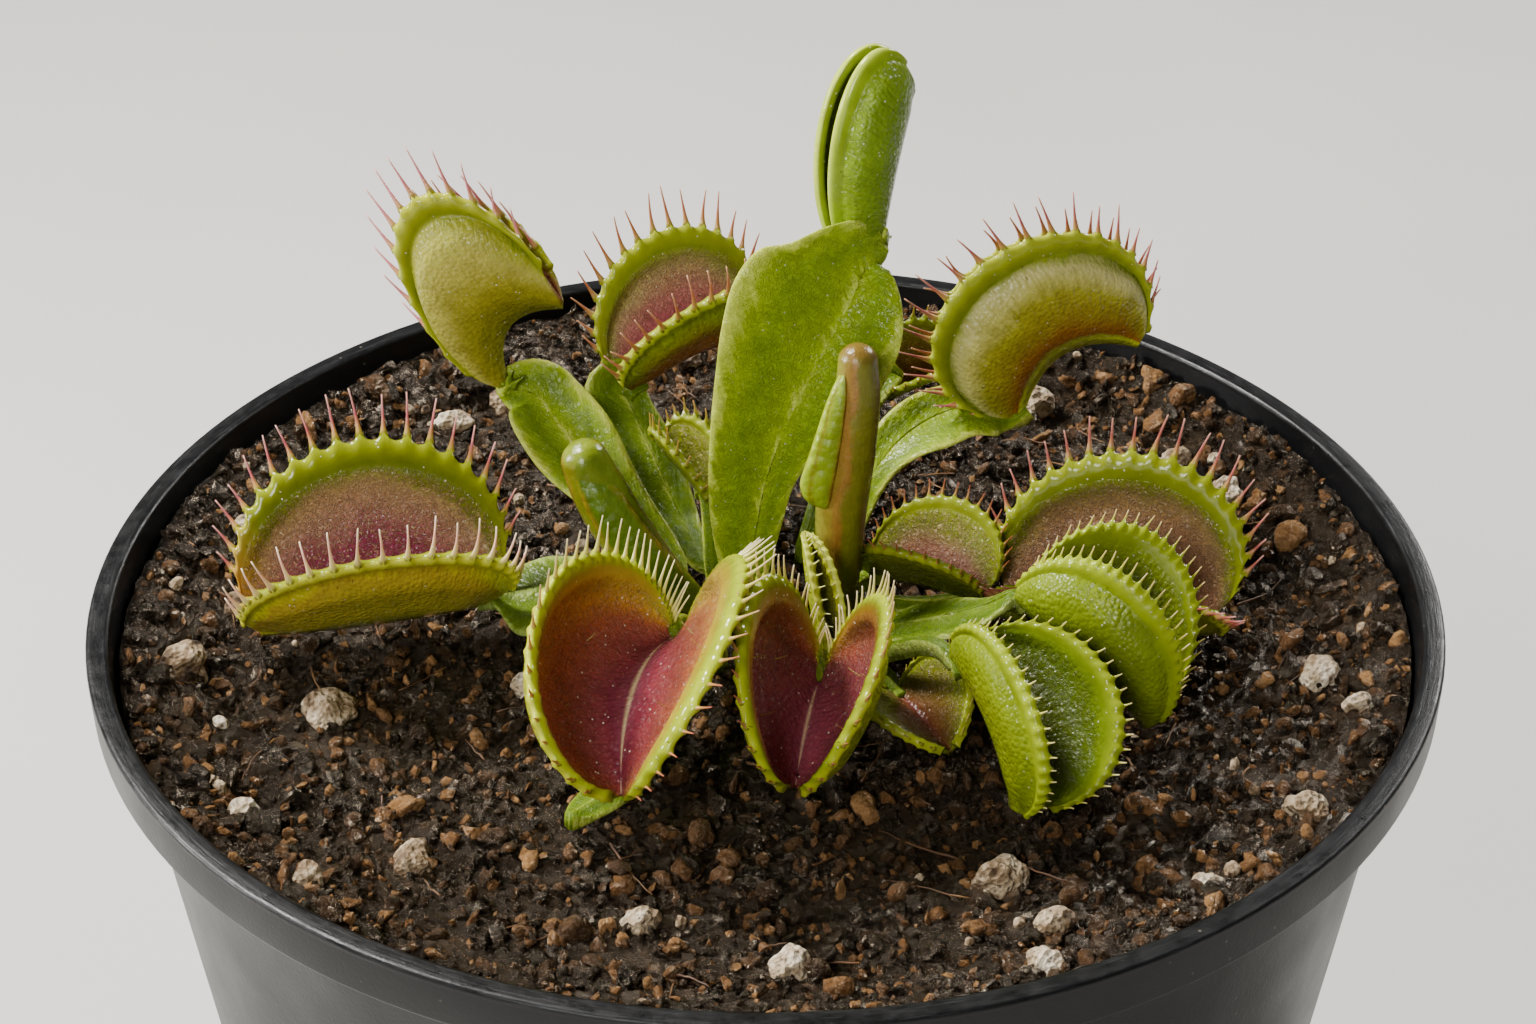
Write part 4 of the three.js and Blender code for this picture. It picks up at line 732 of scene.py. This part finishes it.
def unit_ball(level):
    """Corners and triangles of a ball made by splitting an icosahedron."""
    g = (1 + 5**0.5) / 2
    points = [(-1, g, 0), (1, g, 0), (-1, -g, 0), (1, -g, 0), (0, -1, g), (0, 1, g),
              (0, -1, -g), (0, 1, -g), (g, 0, -1), (g, 0, 1), (-g, 0, -1), (-g, 0, 1)]
    tris = [(0, 11, 5), (0, 5, 1), (0, 1, 7), (0, 7, 10), (0, 10, 11), (1, 5, 9), (5, 11, 4),
            (11, 10, 2), (10, 7, 6), (7, 1, 8), (3, 9, 4), (3, 4, 2), (3, 2, 6), (3, 6, 8),
            (3, 8, 9), (4, 9, 5), (2, 4, 11), (6, 2, 10), (8, 6, 7), (9, 8, 1)]
    points = [unit(np.array(p)) for p in points]
    for _ in range(level):
        seen, out = {}, []
        for a, b, c in tris:
            halves = []
            for pair in ((a, b), (b, c), (c, a)):
                key = tuple(sorted(pair))
                if key not in seen:
                    seen[key] = len(points)
                    points.append(unit(points[key[0]] + points[key[1]]))
                halves.append(seen[key])
            ab, bc, ca = halves
            out += [(a, ab, ca), (b, bc, ab), (c, ca, bc), (ab, bc, ca)]
        tris = out
    return np.array(points), np.array(tris)


def random_turn(rng):
    w, x, y, z = unit(rng.normal(size=4))
    return np.array([[1 - 2 * (y * y + z * z), 2 * (x * y - z * w), 2 * (x * z + y * w)],
                     [2 * (x * y + z * w), 1 - 2 * (x * x + z * z), 2 * (y * z - x * w)],
                     [2 * (x * z - y * w), 2 * (y * z + x * w), 1 - 2 * (x * x + y * y)]])


def lump(ball, rng, rough, squash):
    """A ball turned into an irregular clod by a few random waves."""
    swells = np.zeros(len(ball))
    for k in range(6):
        direction = unit(rng.normal(size=3)) * rng.uniform(1.5, 5.5)
        swells += np.sin(ball @ direction + rng.uniform(*ANY_PHASE)) / (1 + 0.35 * k)
    points = ball * (1 + rough * swells / 2.2)[:, None] * rng.uniform(*squash, 3)
    return points @ random_turn(rng).T


def popcorn(ball, rng, size):
    """A grain of perlite: a lumpy ball with dents."""
    points = lump(ball, rng, 0.22, (0.75, 1.05))
    shift = Vector(rng.uniform(-50, 50, 3))
    dents = [noise.voronoi(Vector(p) * 1.9 + shift)[0][0] for p in points]
    return points * (0.8 + 0.42 * np.minimum(dents, 0.8))[:, None] * size


def soil_height(x, y):
    """Top of the soil bed: low waves, clods of three sizes and the pores between them."""
    p = Vector((x, y, 0.0))
    bend = [noise.noise(p * 0.5 + Vector((0, 0, shift))) for shift in BEND_SHIFTS]
    bent = p + Vector(bend) * 0.9
    wave = noise.noise(p * 0.09) * 0.55 + noise.noise(p * 0.31 + Vector((9, 4, 2))) * 0.35
    clods = 0.0
    for scale, size in CLOD_WAVES:
        near = noise.voronoi(bent * scale + Vector((3, 7, scale)))[0]
        clods += size * (min(near[1] - near[0], 0.5) - 0.2)
    climb = float(ease(p.length, BANK_START, SOIL_EDGE))
    bank = climb * (BANK_FRONT + (BANK_BACK - BANK_FRONT) * float(ease(y, -30, 30)))
    return SOIL_TOP - 0.85 + wave + clods + 0.12 * noise.noise(p * 3.1) + bank


def lathe(profile, sides):
    """Rings round the z axis, one for each radius and height of a profile."""
    profile = np.asarray(profile, float)[:, None]
    flat = profile[..., :1] * circle(sides)
    return np.concatenate([flat, np.repeat(profile[..., 1:], sides, axis=1)], -1)


def make_soil(material):
    """The bed, one closed body that fills the pot up to its uneven top."""
    radius = SOIL_EDGE * np.linspace(0, 1, BED_RINGS)[1:] ** 0.8
    flat = radius[:, None, None] * circle(BED_SECTORS)
    height = np.array([soil_height(x, y) for x, y in flat.reshape(-1, 2)])
    top = np.concatenate([flat, height.reshape(*flat.shape[:2], 1)], -1)
    depth = FOOT_RING + FLOOR + SEAT
    inner = FOOT_RADIUS + TAPER * depth - WALL - SEAT
    step = BODY_RADIUS - WALL - 0.5
    wall = lathe([(SOIL_EDGE, LEDGE + 0.45), (step, LEDGE - 1.3), (inner, depth)], BED_SECTORS)
    shape = Shape()
    add_tube(shape, np.concatenate([top, wall]), (0, 0, soil_height(0, 0)), (0, 0, depth), inside_out=True)
    shape.make("soil_bed", material, "soil", node="soil")


def make_clods(name, material, rng, level, count, sizes, rough, power, lift):
    """Loose crumbs over the bed, kept low where a leaf lies close above."""
    ball, tris = unit_ball(level)
    shape = Shape()
    for _ in range(count):
        r = SOIL_EDGE * math.sqrt(rng.uniform())
        a = rng.uniform(0, 2 * math.pi)
        size = sizes[0] + (sizes[1] - sizes[0]) * rng.uniform() ** power
        r = min(r, SOIL_EDGE - size * 1.1)
        x, y = r * math.cos(a), r * math.sin(a)
        z = soil_height(x, y) + size * rng.uniform(-0.1, lift)
        crumb = lump(ball, rng, rough, CRUMB_SQUASH) * size
        tone = rng.uniform()
        if z + size > room(x, y):
            z = room(x, y) - size
            if z < LOWEST_CRUMB:
                continue
        shape.add(crumb + [x, y, z], tris=tris, s=tone)
    shape.make(name, material, "soil", keep=("s",), smooth_faces=level > 0)


def make_perlite(material, rng):
    """The grains of the solids, and smaller ones between them."""
    shape = Shape()
    ball, tris = unit_ball(3)
    for x, y, r in GRAINS:
        grain = popcorn(ball, rng, r * 1.05) + [x, y, soil_height(x, y) + r * 0.2]
        shape.add(grain, tris=tris, s=rng.uniform())
    ball, tris = unit_ball(2)
    for _ in range(SMALL_GRAINS):
        r = SOIL_EDGE * math.sqrt(rng.uniform(0.04, 0.97))
        a, size = rng.uniform(*ANY_ANGLE), rng.uniform(0.2, 0.8)
        x, y = r * math.cos(a), r * math.sin(a)
        z = min(soil_height(x, y) + size * 0.35, room(x, y) - size)
        shape.add(popcorn(ball, rng, size) + [x, y, z], tris=tris, s=rng.uniform())
    shape.make("perlite_grains", material, "soil", keep=("s",))


def make_fibres(material, rng):
    """Thin roots that lie on the soil and bend a little."""
    shape = Shape()
    for _ in range(FIBRES):
        r, a = FIBRE_FIELD * math.sqrt(rng.uniform(0.06, 1)), rng.uniform(*ANY_ANGLE)
        x, y, heading = r * math.cos(a), r * math.sin(a), rng.uniform(*ANY_ANGLE)
        length, curl = rng.uniform(2, 8), rng.uniform(-0.05, 0.05)
        line = []
        for _ in range(FIBRE_STEPS + 1):
            if math.hypot(x, y) > SOIL_EDGE - 0.6:
                break
            level = soil_height(x, y) * 0.4 + (SOIL_TOP - 0.1) * 0.6 + 0.3
            line.append([x, y, min(level, room(x, y) - 0.2)])
            x += math.cos(heading) * length / FIBRE_STEPS
            y += math.sin(heading) * length / FIBRE_STEPS
            heading += curl * 2
        if len(line) > 3:
            add_rod(shape, line, np.linspace(0.1, 0.04, len(line)) * rng.uniform(0.6, 1.3), 5)
    shape.make("peat_fibres", material, "soil")


def rounded(corners, radius, steps=5):
    """A line of corners with each inner one replaced by a small curve."""
    out = [corners[0]]
    for before, corner, after in zip(corners, corners[1:], corners[2:]):
        corner = np.array(corner, float)
        a, b = np.array(before, float) - corner, np.array(after, float) - corner
        reach = min(radius, np.linalg.norm(a) * 0.45, np.linalg.norm(b) * 0.45)
        a, b = corner + unit(a) * reach, corner + unit(b) * reach
        for k in range(steps + 1):
            t = k / steps
            out.append((1 - t) ** 2 * a + 2 * t * (1 - t) * corner + t * t * b)
    return np.array([*out, corners[-1]], float)


def make_pot(material):
    """The pot as one lathed shell, from the middle of its foot round to the middle of its floor."""
    ring, rim = FOOT_RADIUS - FOOT_RING_WIDTH, RIM_RADIUS - RIM_FACE
    floor_height = FOOT_RING + FLOOR
    profile = rounded([
        (0, FOOT_RING), (ring, FOOT_RING), (ring, 0), (FOOT_RADIUS, 0), (FOOT_RADIUS + TAPER * 10, 10),
        (BODY_RADIUS, LEDGE - 0.5), (RIM_RADIUS - 0.2, LEDGE - 0.5), (RIM_RADIUS, POT_HEIGHT),
        (rim, POT_HEIGHT), (rim - 0.4, LEDGE), (BODY_RADIUS - WALL, LEDGE - 1.6),
        (FOOT_RADIUS - WALL + TAPER * floor_height, floor_height), (0, floor_height),
    ], 0.45)
    dense = [profile[0]]
    for a, b in zip(profile, profile[1:]):
        pieces = max(1, int(np.linalg.norm(b - a) / 9))
        dense += [a + (b - a) * k / pieces for k in range(1, pieces + 1)]
    shape = Shape()
    add_tube(shape, lathe(dense[1:-1], POT_SECTORS), (0, 0, FOOT_RING), (0, 0, floor_height))
    shape.make("pot_shell", material, "pot", node="pot")


def linear(code):
    rgb = [int(code[k:k + 2], 16) / 255 for k in (0, 2, 4)]
    return (*[c / 12.92 if c <= 0.04045 else ((c + 0.055) / 1.055) ** 2.4 for c in rgb], 1.0)


class Shader:
    """A material being built: short names for the nodes it uses."""

    def __init__(self, name):
        self.material = bpy.data.materials.new(name)
        self.material.use_nodes = True
        self.tree = self.material.node_tree
        self.tree.nodes.clear()
        self.surface = self.node("BsdfPrincipled")
        self.node("OutputMaterial", {"Surface": self.surface.outputs[0]})
        self.spot = self.node("TexCoord").outputs["Object"]

    def node(self, kind, inputs=(), **settings):
        made = self.tree.nodes.new("ShaderNode" + kind)
        for key, value in settings.items():
            setattr(made, key, value)
        for key, value in dict(inputs).items():
            self.put(made.inputs[key], value)
        return made

    def put(self, socket, value):
        if isinstance(value, bpy.types.NodeSocket):
            self.tree.links.new(value, socket)
        else:
            socket.default_value = value

    def set(self, **values):
        for key, value in values.items():
            self.put(self.surface.inputs[key.replace("_", " ")], value)

    def value(self, name):
        return self.node("Attribute", attribute_name=name).outputs["Fac"]

    def join(self, x, y=0.0, z=0.0):
        return self.node("CombineXYZ", {"X": x, "Y": y, "Z": z}).outputs[0]

    def math(self, operation, *values):
        n = self.node("Math", operation=operation)
        for socket, value in zip(n.inputs, values):
            self.put(socket, value)
        return n.outputs[0]

    def chain(self, operation, values):
        total = values[0]
        for value in values[1:]:
            total = self.math(operation, total, value)
        return total

    def times(self, *values):
        return self.chain("MULTIPLY", values)

    def plus(self, *values):
        return self.chain("ADD", values)

    def above(self, value, limit):
        return self.math("GREATER_THAN", value, limit)

    def centred(self, value, size):
        """A number from 0 to 1 turned into one from -size / 2 to size / 2."""
        return self.math("MULTIPLY_ADD", value, size, -size / 2)

    def span(self, value, low, high, out_low=0.0, out_high=1.0):
        """A number from low to high turned into one from out_low to out_high."""
        inputs = {"Value": value, "From Min": low, "From Max": high, "To Min": out_low, "To Max": out_high}
        return self.node("MapRange", inputs).outputs[0]

    def noise(self, scale, detail=3, rough=0.55, where=None, distortion=0.0):
        inputs = {"Scale": scale, "Detail": detail, "Roughness": rough, "Distortion": distortion}
        return self.node("TexNoise", {"Vector": where or self.spot, **inputs}).outputs["Fac"]

    def cells(self, scale, where=None):
        """The distance to the middle of the nearest cell."""
        return self.node("TexVoronoi", {"Vector": where or self.spot, "Scale": scale}).outputs["Distance"]

    def ramp(self, value, stops):
        n = self.node("ValToRGB", {"Fac": value})
        points = n.color_ramp.elements
        while len(points) < len(stops):
            points.new(0.5)
        for point, (place, code) in zip(points, stops):
            point.position = place
            point.color = linear(code)
        return n.outputs["Color"]

    def mix(self, factor, a, b, blend="MIX"):
        b = linear(b) if isinstance(b, str) else b
        n = self.node("Mix", {0: factor, 6: a, 7: b}, data_type="RGBA", blend_type=blend)
        return n.outputs[2]

    def mix_value(self, factor, a, b):
        return self.node("Mix", {0: factor, 2: a, 3: b}, data_type="FLOAT").outputs[0]

    def shade(self, colour, *factors):
        """A colour made lighter or darker by numbers."""
        grey = self.times(*factors)
        grey = self.node("CombineColor", {"Red": grey, "Green": grey, "Blue": grey}).outputs[0]
        return self.mix(1.0, colour, grey, "MULTIPLY")

    def bump(self, height, distance, strength=1.0):
        inputs = {"Height": height, "Distance": distance, "Strength": strength}
        return self.node("Bump", inputs).outputs[0]


def leaf_material(name, look, stalk):
    """Living tissue: coloured bands on the lobes, veins on the blade, painted glint dots, glands and
    relief, with painted highlights on the crinkles.
    """
    m = Shader(name)
    s, t, inner, trap, tooth, wing = (m.value(key) for key in Shape.KEYS)
    blade_part = m.math("SUBTRACT", 1.0, trap)
    cloud = m.noise(240)
    mottle = m.noise(950)
    radial = m.noise(1.0, rough=0.6, where=m.join(m.times(s, 95), m.times(t, 4), m.times(inner, 9)))

    # Lobes: bands from the hinge to the rim, blurred into each other
    middle = m.math("ABSOLUTE", m.centred(s, 2.0))
    toward_ends = m.times(middle, middle, look.get("ends", 0.12))
    blur = m.plus(toward_ends, m.centred(cloud, 0.22), m.centred(radial, 0.1), m.centred(mottle, 0.07))
    shifted = m.plus(t, m.times(blur, m.span(t, 0.02, 0.2)))
    band = m.mix_value(m.span(t, 0.78, 0.9), shifted, t)
    lobes = m.mix(inner, m.ramp(band, look["outside"]), m.ramp(band, look["inside"]))
    if "blush" in look:
        lobes = m.mix(m.times(m.span(s, 0.78, 0.97), inner, 0.75), lobes, look["blush"])
    on_face = m.span(t, 0.8, 0.87, 1, 0)
    streaks = m.mix_value(on_face, 1.0, m.span(radial, 0.3, 0.7, 0.87, 1.1))

    # Blades: pale midrib, oblique veins
    low, mid, high = look.get("stalk", stalk)
    vein_at = m.join(m.plus(m.times(s, 34), m.times(wing, -7)), m.times(wing, 1.6))
    vein = m.noise(1.0, where=vein_at)
    across = m.plus(wing, m.centred(cloud, 0.4), m.centred(vein, 0.5))
    blade = m.ramp(across, [(0.0, high), (0.1, mid), (0.5, low), (0.84, mid), (1.0, high)])
    patches = m.span(m.noise(480, 4, 0.65), 0.3, 0.7, 0.82, 1.14)
    colour = m.shade(m.mix(trap, blade, lobes), patches, streaks)

    # Glands on the inner face in a paler tint, partly their own colour and partly a painted highlight; dark
    # flecks that lie along the streaks
    gland = m.cells(2300)
    dot = m.span(gland, 0.1, 0.26, 1, 0)
    face = m.times(inner, trap, m.span(t, 0.78, 0.88, 1, 0))
    colour = m.mix(m.times(dot, face, look.get("gland_and_glint_tint", 0.16)), colour, "c89a86")
    fleck = m.cells(1.0, where=m.join(m.times(s, 52), m.times(t, 9), m.times(inner, 5)))
    mark = m.times(m.span(fleck, 0.07, 0.13, 1, 0), m.above(m.noise(330, 2), 0.54), trap)
    colour = m.mix(m.times(mark, 0.5), colour, "301408")

    # A maze of crinkles on the inner face
    maze = m.noise(2000, 1, 0.4, distortion=1.4)
    crinkle = m.span(m.math("ABSOLUTE", m.centred(maze, 2.0)), 0.02, 0.16, 1, 0)
    crinkled = m.times(crinkle, inner, trap, m.span(t, 0.12, 0.5), m.span(t, 0.78, 0.86, 1, 0))
    wrinkle = look.get("wrinkle", 0.5)

    # Painted glints: tiny white dots, also raised a little in the relief; then painted highlights on the
    # crinkles, and the teeth
    glint_amount = m.mix_value(trap, look.get("blade_glints", 0.25), look.get("glint_dots", 0.6))
    glint_spot = m.times(m.span(m.cells(1300), 0.08, 0.14, 1, 0), m.above(m.noise(700, 1), 0.5), glint_amount)
    colour = m.mix(glint_spot, colour, "e8e4cc")
    # Pale colour on the crinkles' ridges: a painted highlight
    colour = m.mix(m.times(crinkled, look.get("crinkle", 0.4 * wrinkle)), colour, "d8b48c")
    teeth = m.ramp(tooth, look["tooth"])
    if "low_tooth" in look:
        teeth = m.mix(m.span(s, 0.35, 0.6), teeth, m.ramp(tooth, look["low_tooth"]))
    if "plus_tooth" in look:
        teeth = m.mix(m.above(inner, 0.5), teeth, m.ramp(tooth, look["plus_tooth"]))
    colour = m.mix(m.above(tooth, 0.01), colour, teeth)

    # Relief: dimples outside, ribs inside, veins and quilting on a blade
    cushions = m.cells(1.0, where=m.join(m.times(s, 60), m.times(wing, 5)))
    quilting = m.plus(cushions, m.times(m.cells(1000), 0.5))
    from_rib = m.plus(m.span(wing, 0.5, 0.9, 0.4, 1.3), m.span(wing, 0.1, 0.3, 0.9, 0))
    quilt = look.get("quilt", 0.35)
    band_part = m.times(trap, m.math("SUBTRACT", 1.0, on_face))
    off_band = m.mix_value(band_part, 1.0, 0.3)
    height = m.plus(
        m.times(mottle, look.get("bumps", 0.5), off_band),
        m.times(m.noise(2700), 0.3, off_band),
        m.times(radial, trap, on_face, m.span(inner, 0, 1, look.get("ribs", 0.7), 0.3)),
        m.times(crinkled, 1.8 * wrinkle),
        m.times(crinkle, blade_part, 0.8 * quilt),
        m.times(gland, trap, on_face, -0.7),
        m.times(vein, blade_part, 0.9),
        m.times(quilting, blade_part, from_rib, -1.3 * quilt),
        m.times(glint_spot, 0.5),
        m.times(mark, -0.3))
    gloss = look.get("gloss", 0.13)
    sheen = m.span(m.noise(640, 2), 0.3, 0.7, gloss, gloss + 0.22)
    m.set(Base_Color=colour, Normal=m.bump(height, 0.00017, 0.85),
          Roughness=m.mix_value(band_part, sheen, 0.15), Specular_IOR_Level=0.26,
          Subsurface_Weight=0.12, Subsurface_Radius=(1.0, 0.8, 0.15), Subsurface_Scale=0.001)
    return m.material


def bud_material(name, around, wing_colours, tip):
    """A rolled leaf: bands round the rod, the first at its back, and a wing with its own colours."""
    m = Shader(name)
    s, t, wing = (m.value(key) for key in ("s", "t", "wing"))
    stretched = m.node("Mapping", {"Vector": m.spot, "Scale": (900, 900, 130)}).outputs[0]
    grain = m.noise(1.0, 4, 0.6, where=stretched)
    cloud = m.noise(300)
    colour = m.ramp(m.plus(t, m.centred(grain, 0.16), m.centred(cloud, 0.12)), around)
    colour = m.mix(m.span(m.plus(s, m.centred(cloud, 0.12)), 0.86, 0.97), colour, tip)
    on_wing = m.above(wing, 0.01)
    colour = m.mix(on_wing, colour, m.ramp(m.plus(wing, m.centred(grain, 0.3)), wing_colours))
    colour = m.shade(colour, m.span(m.noise(700, 5, 0.65), 0.3, 0.7, 0.8, 1.16))
    crumple = m.times(m.cells(1100), on_wing, -1.2)
    height = m.plus(m.times(grain, 0.8), m.times(m.noise(1900, 4), 0.5), crumple)
    m.set(Base_Color=colour, Normal=m.bump(height, 0.00016, 0.85),
          Roughness=m.span(cloud, 0.3, 0.7, 0.18, 0.36), Subsurface_Weight=0.08, Subsurface_Scale=0.001)
    return m.material


def soil_material(name, pieces=False):
    """Wet peat: nearly black, with brown and amber crumbs and warm glints."""
    m = Shader(name)
    spread = m.plus(m.times(m.noise(1300, 4, 0.7), 0.5), m.times(m.noise(330, 3, 0.6), 0.5))
    if pieces:
        spread = m.plus(m.times(spread, 0.4), m.times(m.value("s"), 0.6))
        stops = [(0.3, "060403"), (0.49, "1e140c"), (0.61, "402b19"), (0.73, "6c4a2a"), (0.83, "9c7448")]
    else:
        # The bed is darker than the crumbs: the peat's own colour, with painted shade for the gaps between
        # the crumbs
        stops = [(0.4, "040302"), (0.5, "140d08"), (0.6, "2c2014"), (0.72, "584026")]
    height = m.plus(m.noise(2300, 4, 0.75), m.times(m.cells(1900), -0.6))
    dry = m.span(m.noise(900, 3, 0.7), 0.54, 0.66)
    m.set(Base_Color=m.ramp(spread, stops), Normal=m.bump(height, 0.0006),
          Roughness=m.mix_value(dry, 0.12, 0.7), Specular_IOR_Level=m.mix_value(dry, 0.75, 0.15),
          Specular_Tint=(1.0, 0.8, 0.58, 1.0))
    return m.material


def perlite_material():
    """Pale grains with dark pits and brown stains."""
    m = Shader("perlite_grain")
    pit = m.cells(1900)
    stain = m.plus(m.times(m.noise(420, 3, 0.65), 0.8), m.times(m.value("s"), 0.2))
    colour = m.ramp(stain, [(0.34, "3c2a1a"), (0.44, "7c6446"), (0.56, "b09c7e"), (0.72, "d8ccb6")])
    colour = m.mix(m.span(pit, 0.05, 0.3, 0.85, 0), colour, "2c1c10")
    height = m.plus(m.times(pit, 1.2), m.times(m.noise(2600, 3, 0.7), 0.6))
    m.set(Base_Color=colour, Normal=m.bump(height, 0.0004), Roughness=0.7)
    return m.material


def fibre_material():
    m = Shader("peat_fibre")
    colour = m.ramp(m.noise(300), [(0.3, "2c180a"), (0.55, "5c3a1a"), (0.8, "96703c")])
    m.set(Base_Color=colour, Normal=m.bump(m.noise(4000), 0.0001, 0.6), Roughness=0.5)
    return m.material


def pot_material():
    """Black satin plastic with scratches round the rim and specks of dust."""
    m = Shader("pot_plastic")
    parts = m.node("SeparateXYZ", {"Vector": m.spot})
    x, y, z = parts.outputs
    angle = m.math("ARCTAN2", y, x)
    radius = m.math("SQRT", m.plus(m.times(x, x), m.times(y, y)))
    scratch_at = m.join(m.times(angle, 9), m.times(radius, 2600), m.times(z, 1800))
    scratch = m.noise(1.0, 5, 0.7, where=scratch_at)
    scuff = m.noise(1.0, 5, 0.65, where=m.join(m.times(angle, 30), m.times(radius, 900), m.times(z, 40)))
    on_rim = m.span(z, (POT_HEIGHT - 0.6) * MM, (POT_HEIGHT - 0.2) * MM)
    speck = m.times(m.span(m.cells(520), 0.04, 0.09, 1, 0), m.span(m.noise(110), 0.5, 0.6))
    colour = m.ramp(m.noise(60, 5, 0.6), [(0.3, "050506"), (0.7, "0b0b0d")])
    colour = m.mix(m.times(m.span(scratch, 0.55, 0.75), on_rim, 0.55), colour, "3c3d40")
    colour = m.mix(m.times(speck, 0.5), colour, "7a7264")
    height = m.plus(m.times(m.noise(2400, 4, 0.6), 0.4), m.times(scratch, on_rim, 0.8))
    wall_rough = m.span(m.noise(90, 4), 0.3, 0.7, 0.34, 0.46)
    rim_rough = m.span(scuff, 0.3, 0.7, 0.26, 0.5)
    m.set(Base_Color=colour, Normal=m.bump(height, 0.00009, 0.7),
          Roughness=m.mix_value(on_rim, wall_rough, rim_rough), Specular_IOR_Level=0.3)
    return m.material


def floor_material():
    m = Shader("pale_floor")
    m.set(Base_Color=m.mix(m.span(m.noise(9, 2), 0.3, 0.7), linear("c8c6c2"), "c2c0bc"), Roughness=0.7)
    return m.material


# For each square millimetre, how low the leaves come
lowest = {}
OPEN = 1e9


def add_piece(name, shape, material, slot):
    """A leaf or a bud, remembered so that no crumb is put into it."""
    for x, y, z in np.concatenate(shape.points):
        if z > SOIL_TOP + 0.1:
            key = (int(x // 1), int(y // 1))
            lowest[key] = min(z, lowest.get(key, OPEN))
    shape.make("visual_" + name, material, slot, node=name, keep=Shape.KEYS)


def room(x, y):
    """The height below which a crumb stays clear of the leaves."""
    keys = [(int((x + a) // 1), int((y + b) // 1)) for a in (-1, 0, 1) for b in (-1, 0, 1)]
    return min(lowest.get(key, OPEN) for key in keys) - 0.15


for number, (name, leaf) in enumerate(LEAVES.items()):
    rng = np.random.default_rng(100 + number)
    shape = Shape()
    add_stalk(shape, leaf, rng)
    if "trap" in leaf:
        add_trap(shape, leaf["trap"], LOOKS[name], rng)
        if name in HAIRS:
            add_hairs(shape, leaf["trap"])
    kind = leaf["colour"]
    add_piece(name, shape, leaf_material("tissue_" + name, LOOKS[name], STALKS[kind]), SLOTS[kind])
for name, bud in BUDS.items():
    shape = Shape()
    add_bud(shape, bud)
    add_piece(name, shape, bud_material("tissue_" + name, **BUD_LOOKS[name]), "leaf_olive")

make_pot(pot_material())
make_soil(soil_material("peat_bed"))
rng = np.random.default_rng(7)
crumbs = soil_material("peat_crumb", pieces=True)
for name, numbers in CLODS.items():
    make_clods(name, crumbs, rng, *numbers)
make_perlite(perlite_material(), rng)
make_fibres(fibre_material(), rng)

# The stage, in metres
HALF_FLOOR = 3
AIM = (0, 0, 0.11)
DAYLIGHT = (1.0, 0.99, 0.96)
LIGHTS = {                # place, size, power and colour
    "key": ((-0.33, 0.20, 0.60), 0.13, 9.5, (1.0, 0.98, 0.94)),
    "side": ((-0.52, 0.0, 0.26), 0.12, 3.2, DAYLIGHT),
    "fill": ((-0.22, -0.55, 0.52), 0.2, 3.2, DAYLIGHT),
    "back": ((0.34, 0.44, 0.36), 0.16, 2.2, DAYLIGHT),
    "low": ((-0.12, -0.62, 0.2), 0.3, 0.8, DAYLIGHT),
}


def add_object(name, data):
    made = bpy.data.objects.new(name, data)
    bpy.context.scene.collection.objects.link(made)
    return made


corners = [(-1, -1), (1, -1), (1, 1), (-1, 1)]
floor = bpy.data.meshes.new("floor")
floor.from_pydata([(x * HALF_FLOOR, y * HALF_FLOOR, 0) for x, y in corners], [], [(0, 1, 2, 3)])
floor.materials.append(floor_material())
add_object("floor", floor)
for name, (place, size, power, colour) in LIGHTS.items():
    data = bpy.data.lights.new(name, "AREA")
    data.shape, data.size, data.energy, data.color = "DISK", size, power, colour
    lamp = add_object(name, data)
    lamp.location = place
    lamp.rotation_euler = (Vector(AIM) - Vector(place)).to_track_quat("-Z", "Y").to_euler()
world = bpy.data.worlds.new("studio")
bpy.context.scene.world = world
world.use_nodes = True
sky = world.node_tree.nodes["Background"].inputs
sky["Color"].default_value = (1.0, 0.98, 0.95, 1)
sky["Strength"].default_value = 0.16

# The camera, worked out from the ellipse of the rim in the photograph
camera = bpy.data.cameras.new("camera")
camera.lens, camera.sensor_width, camera.clip_start = 80, 36, 0.01
eye = add_object("camera", camera)
eye.location = (0.000217, -0.2546, 0.27202)
eye.rotation_euler = (math.radians(90 - 32.211), 0, 0)
bpy.context.scene.camera = eye
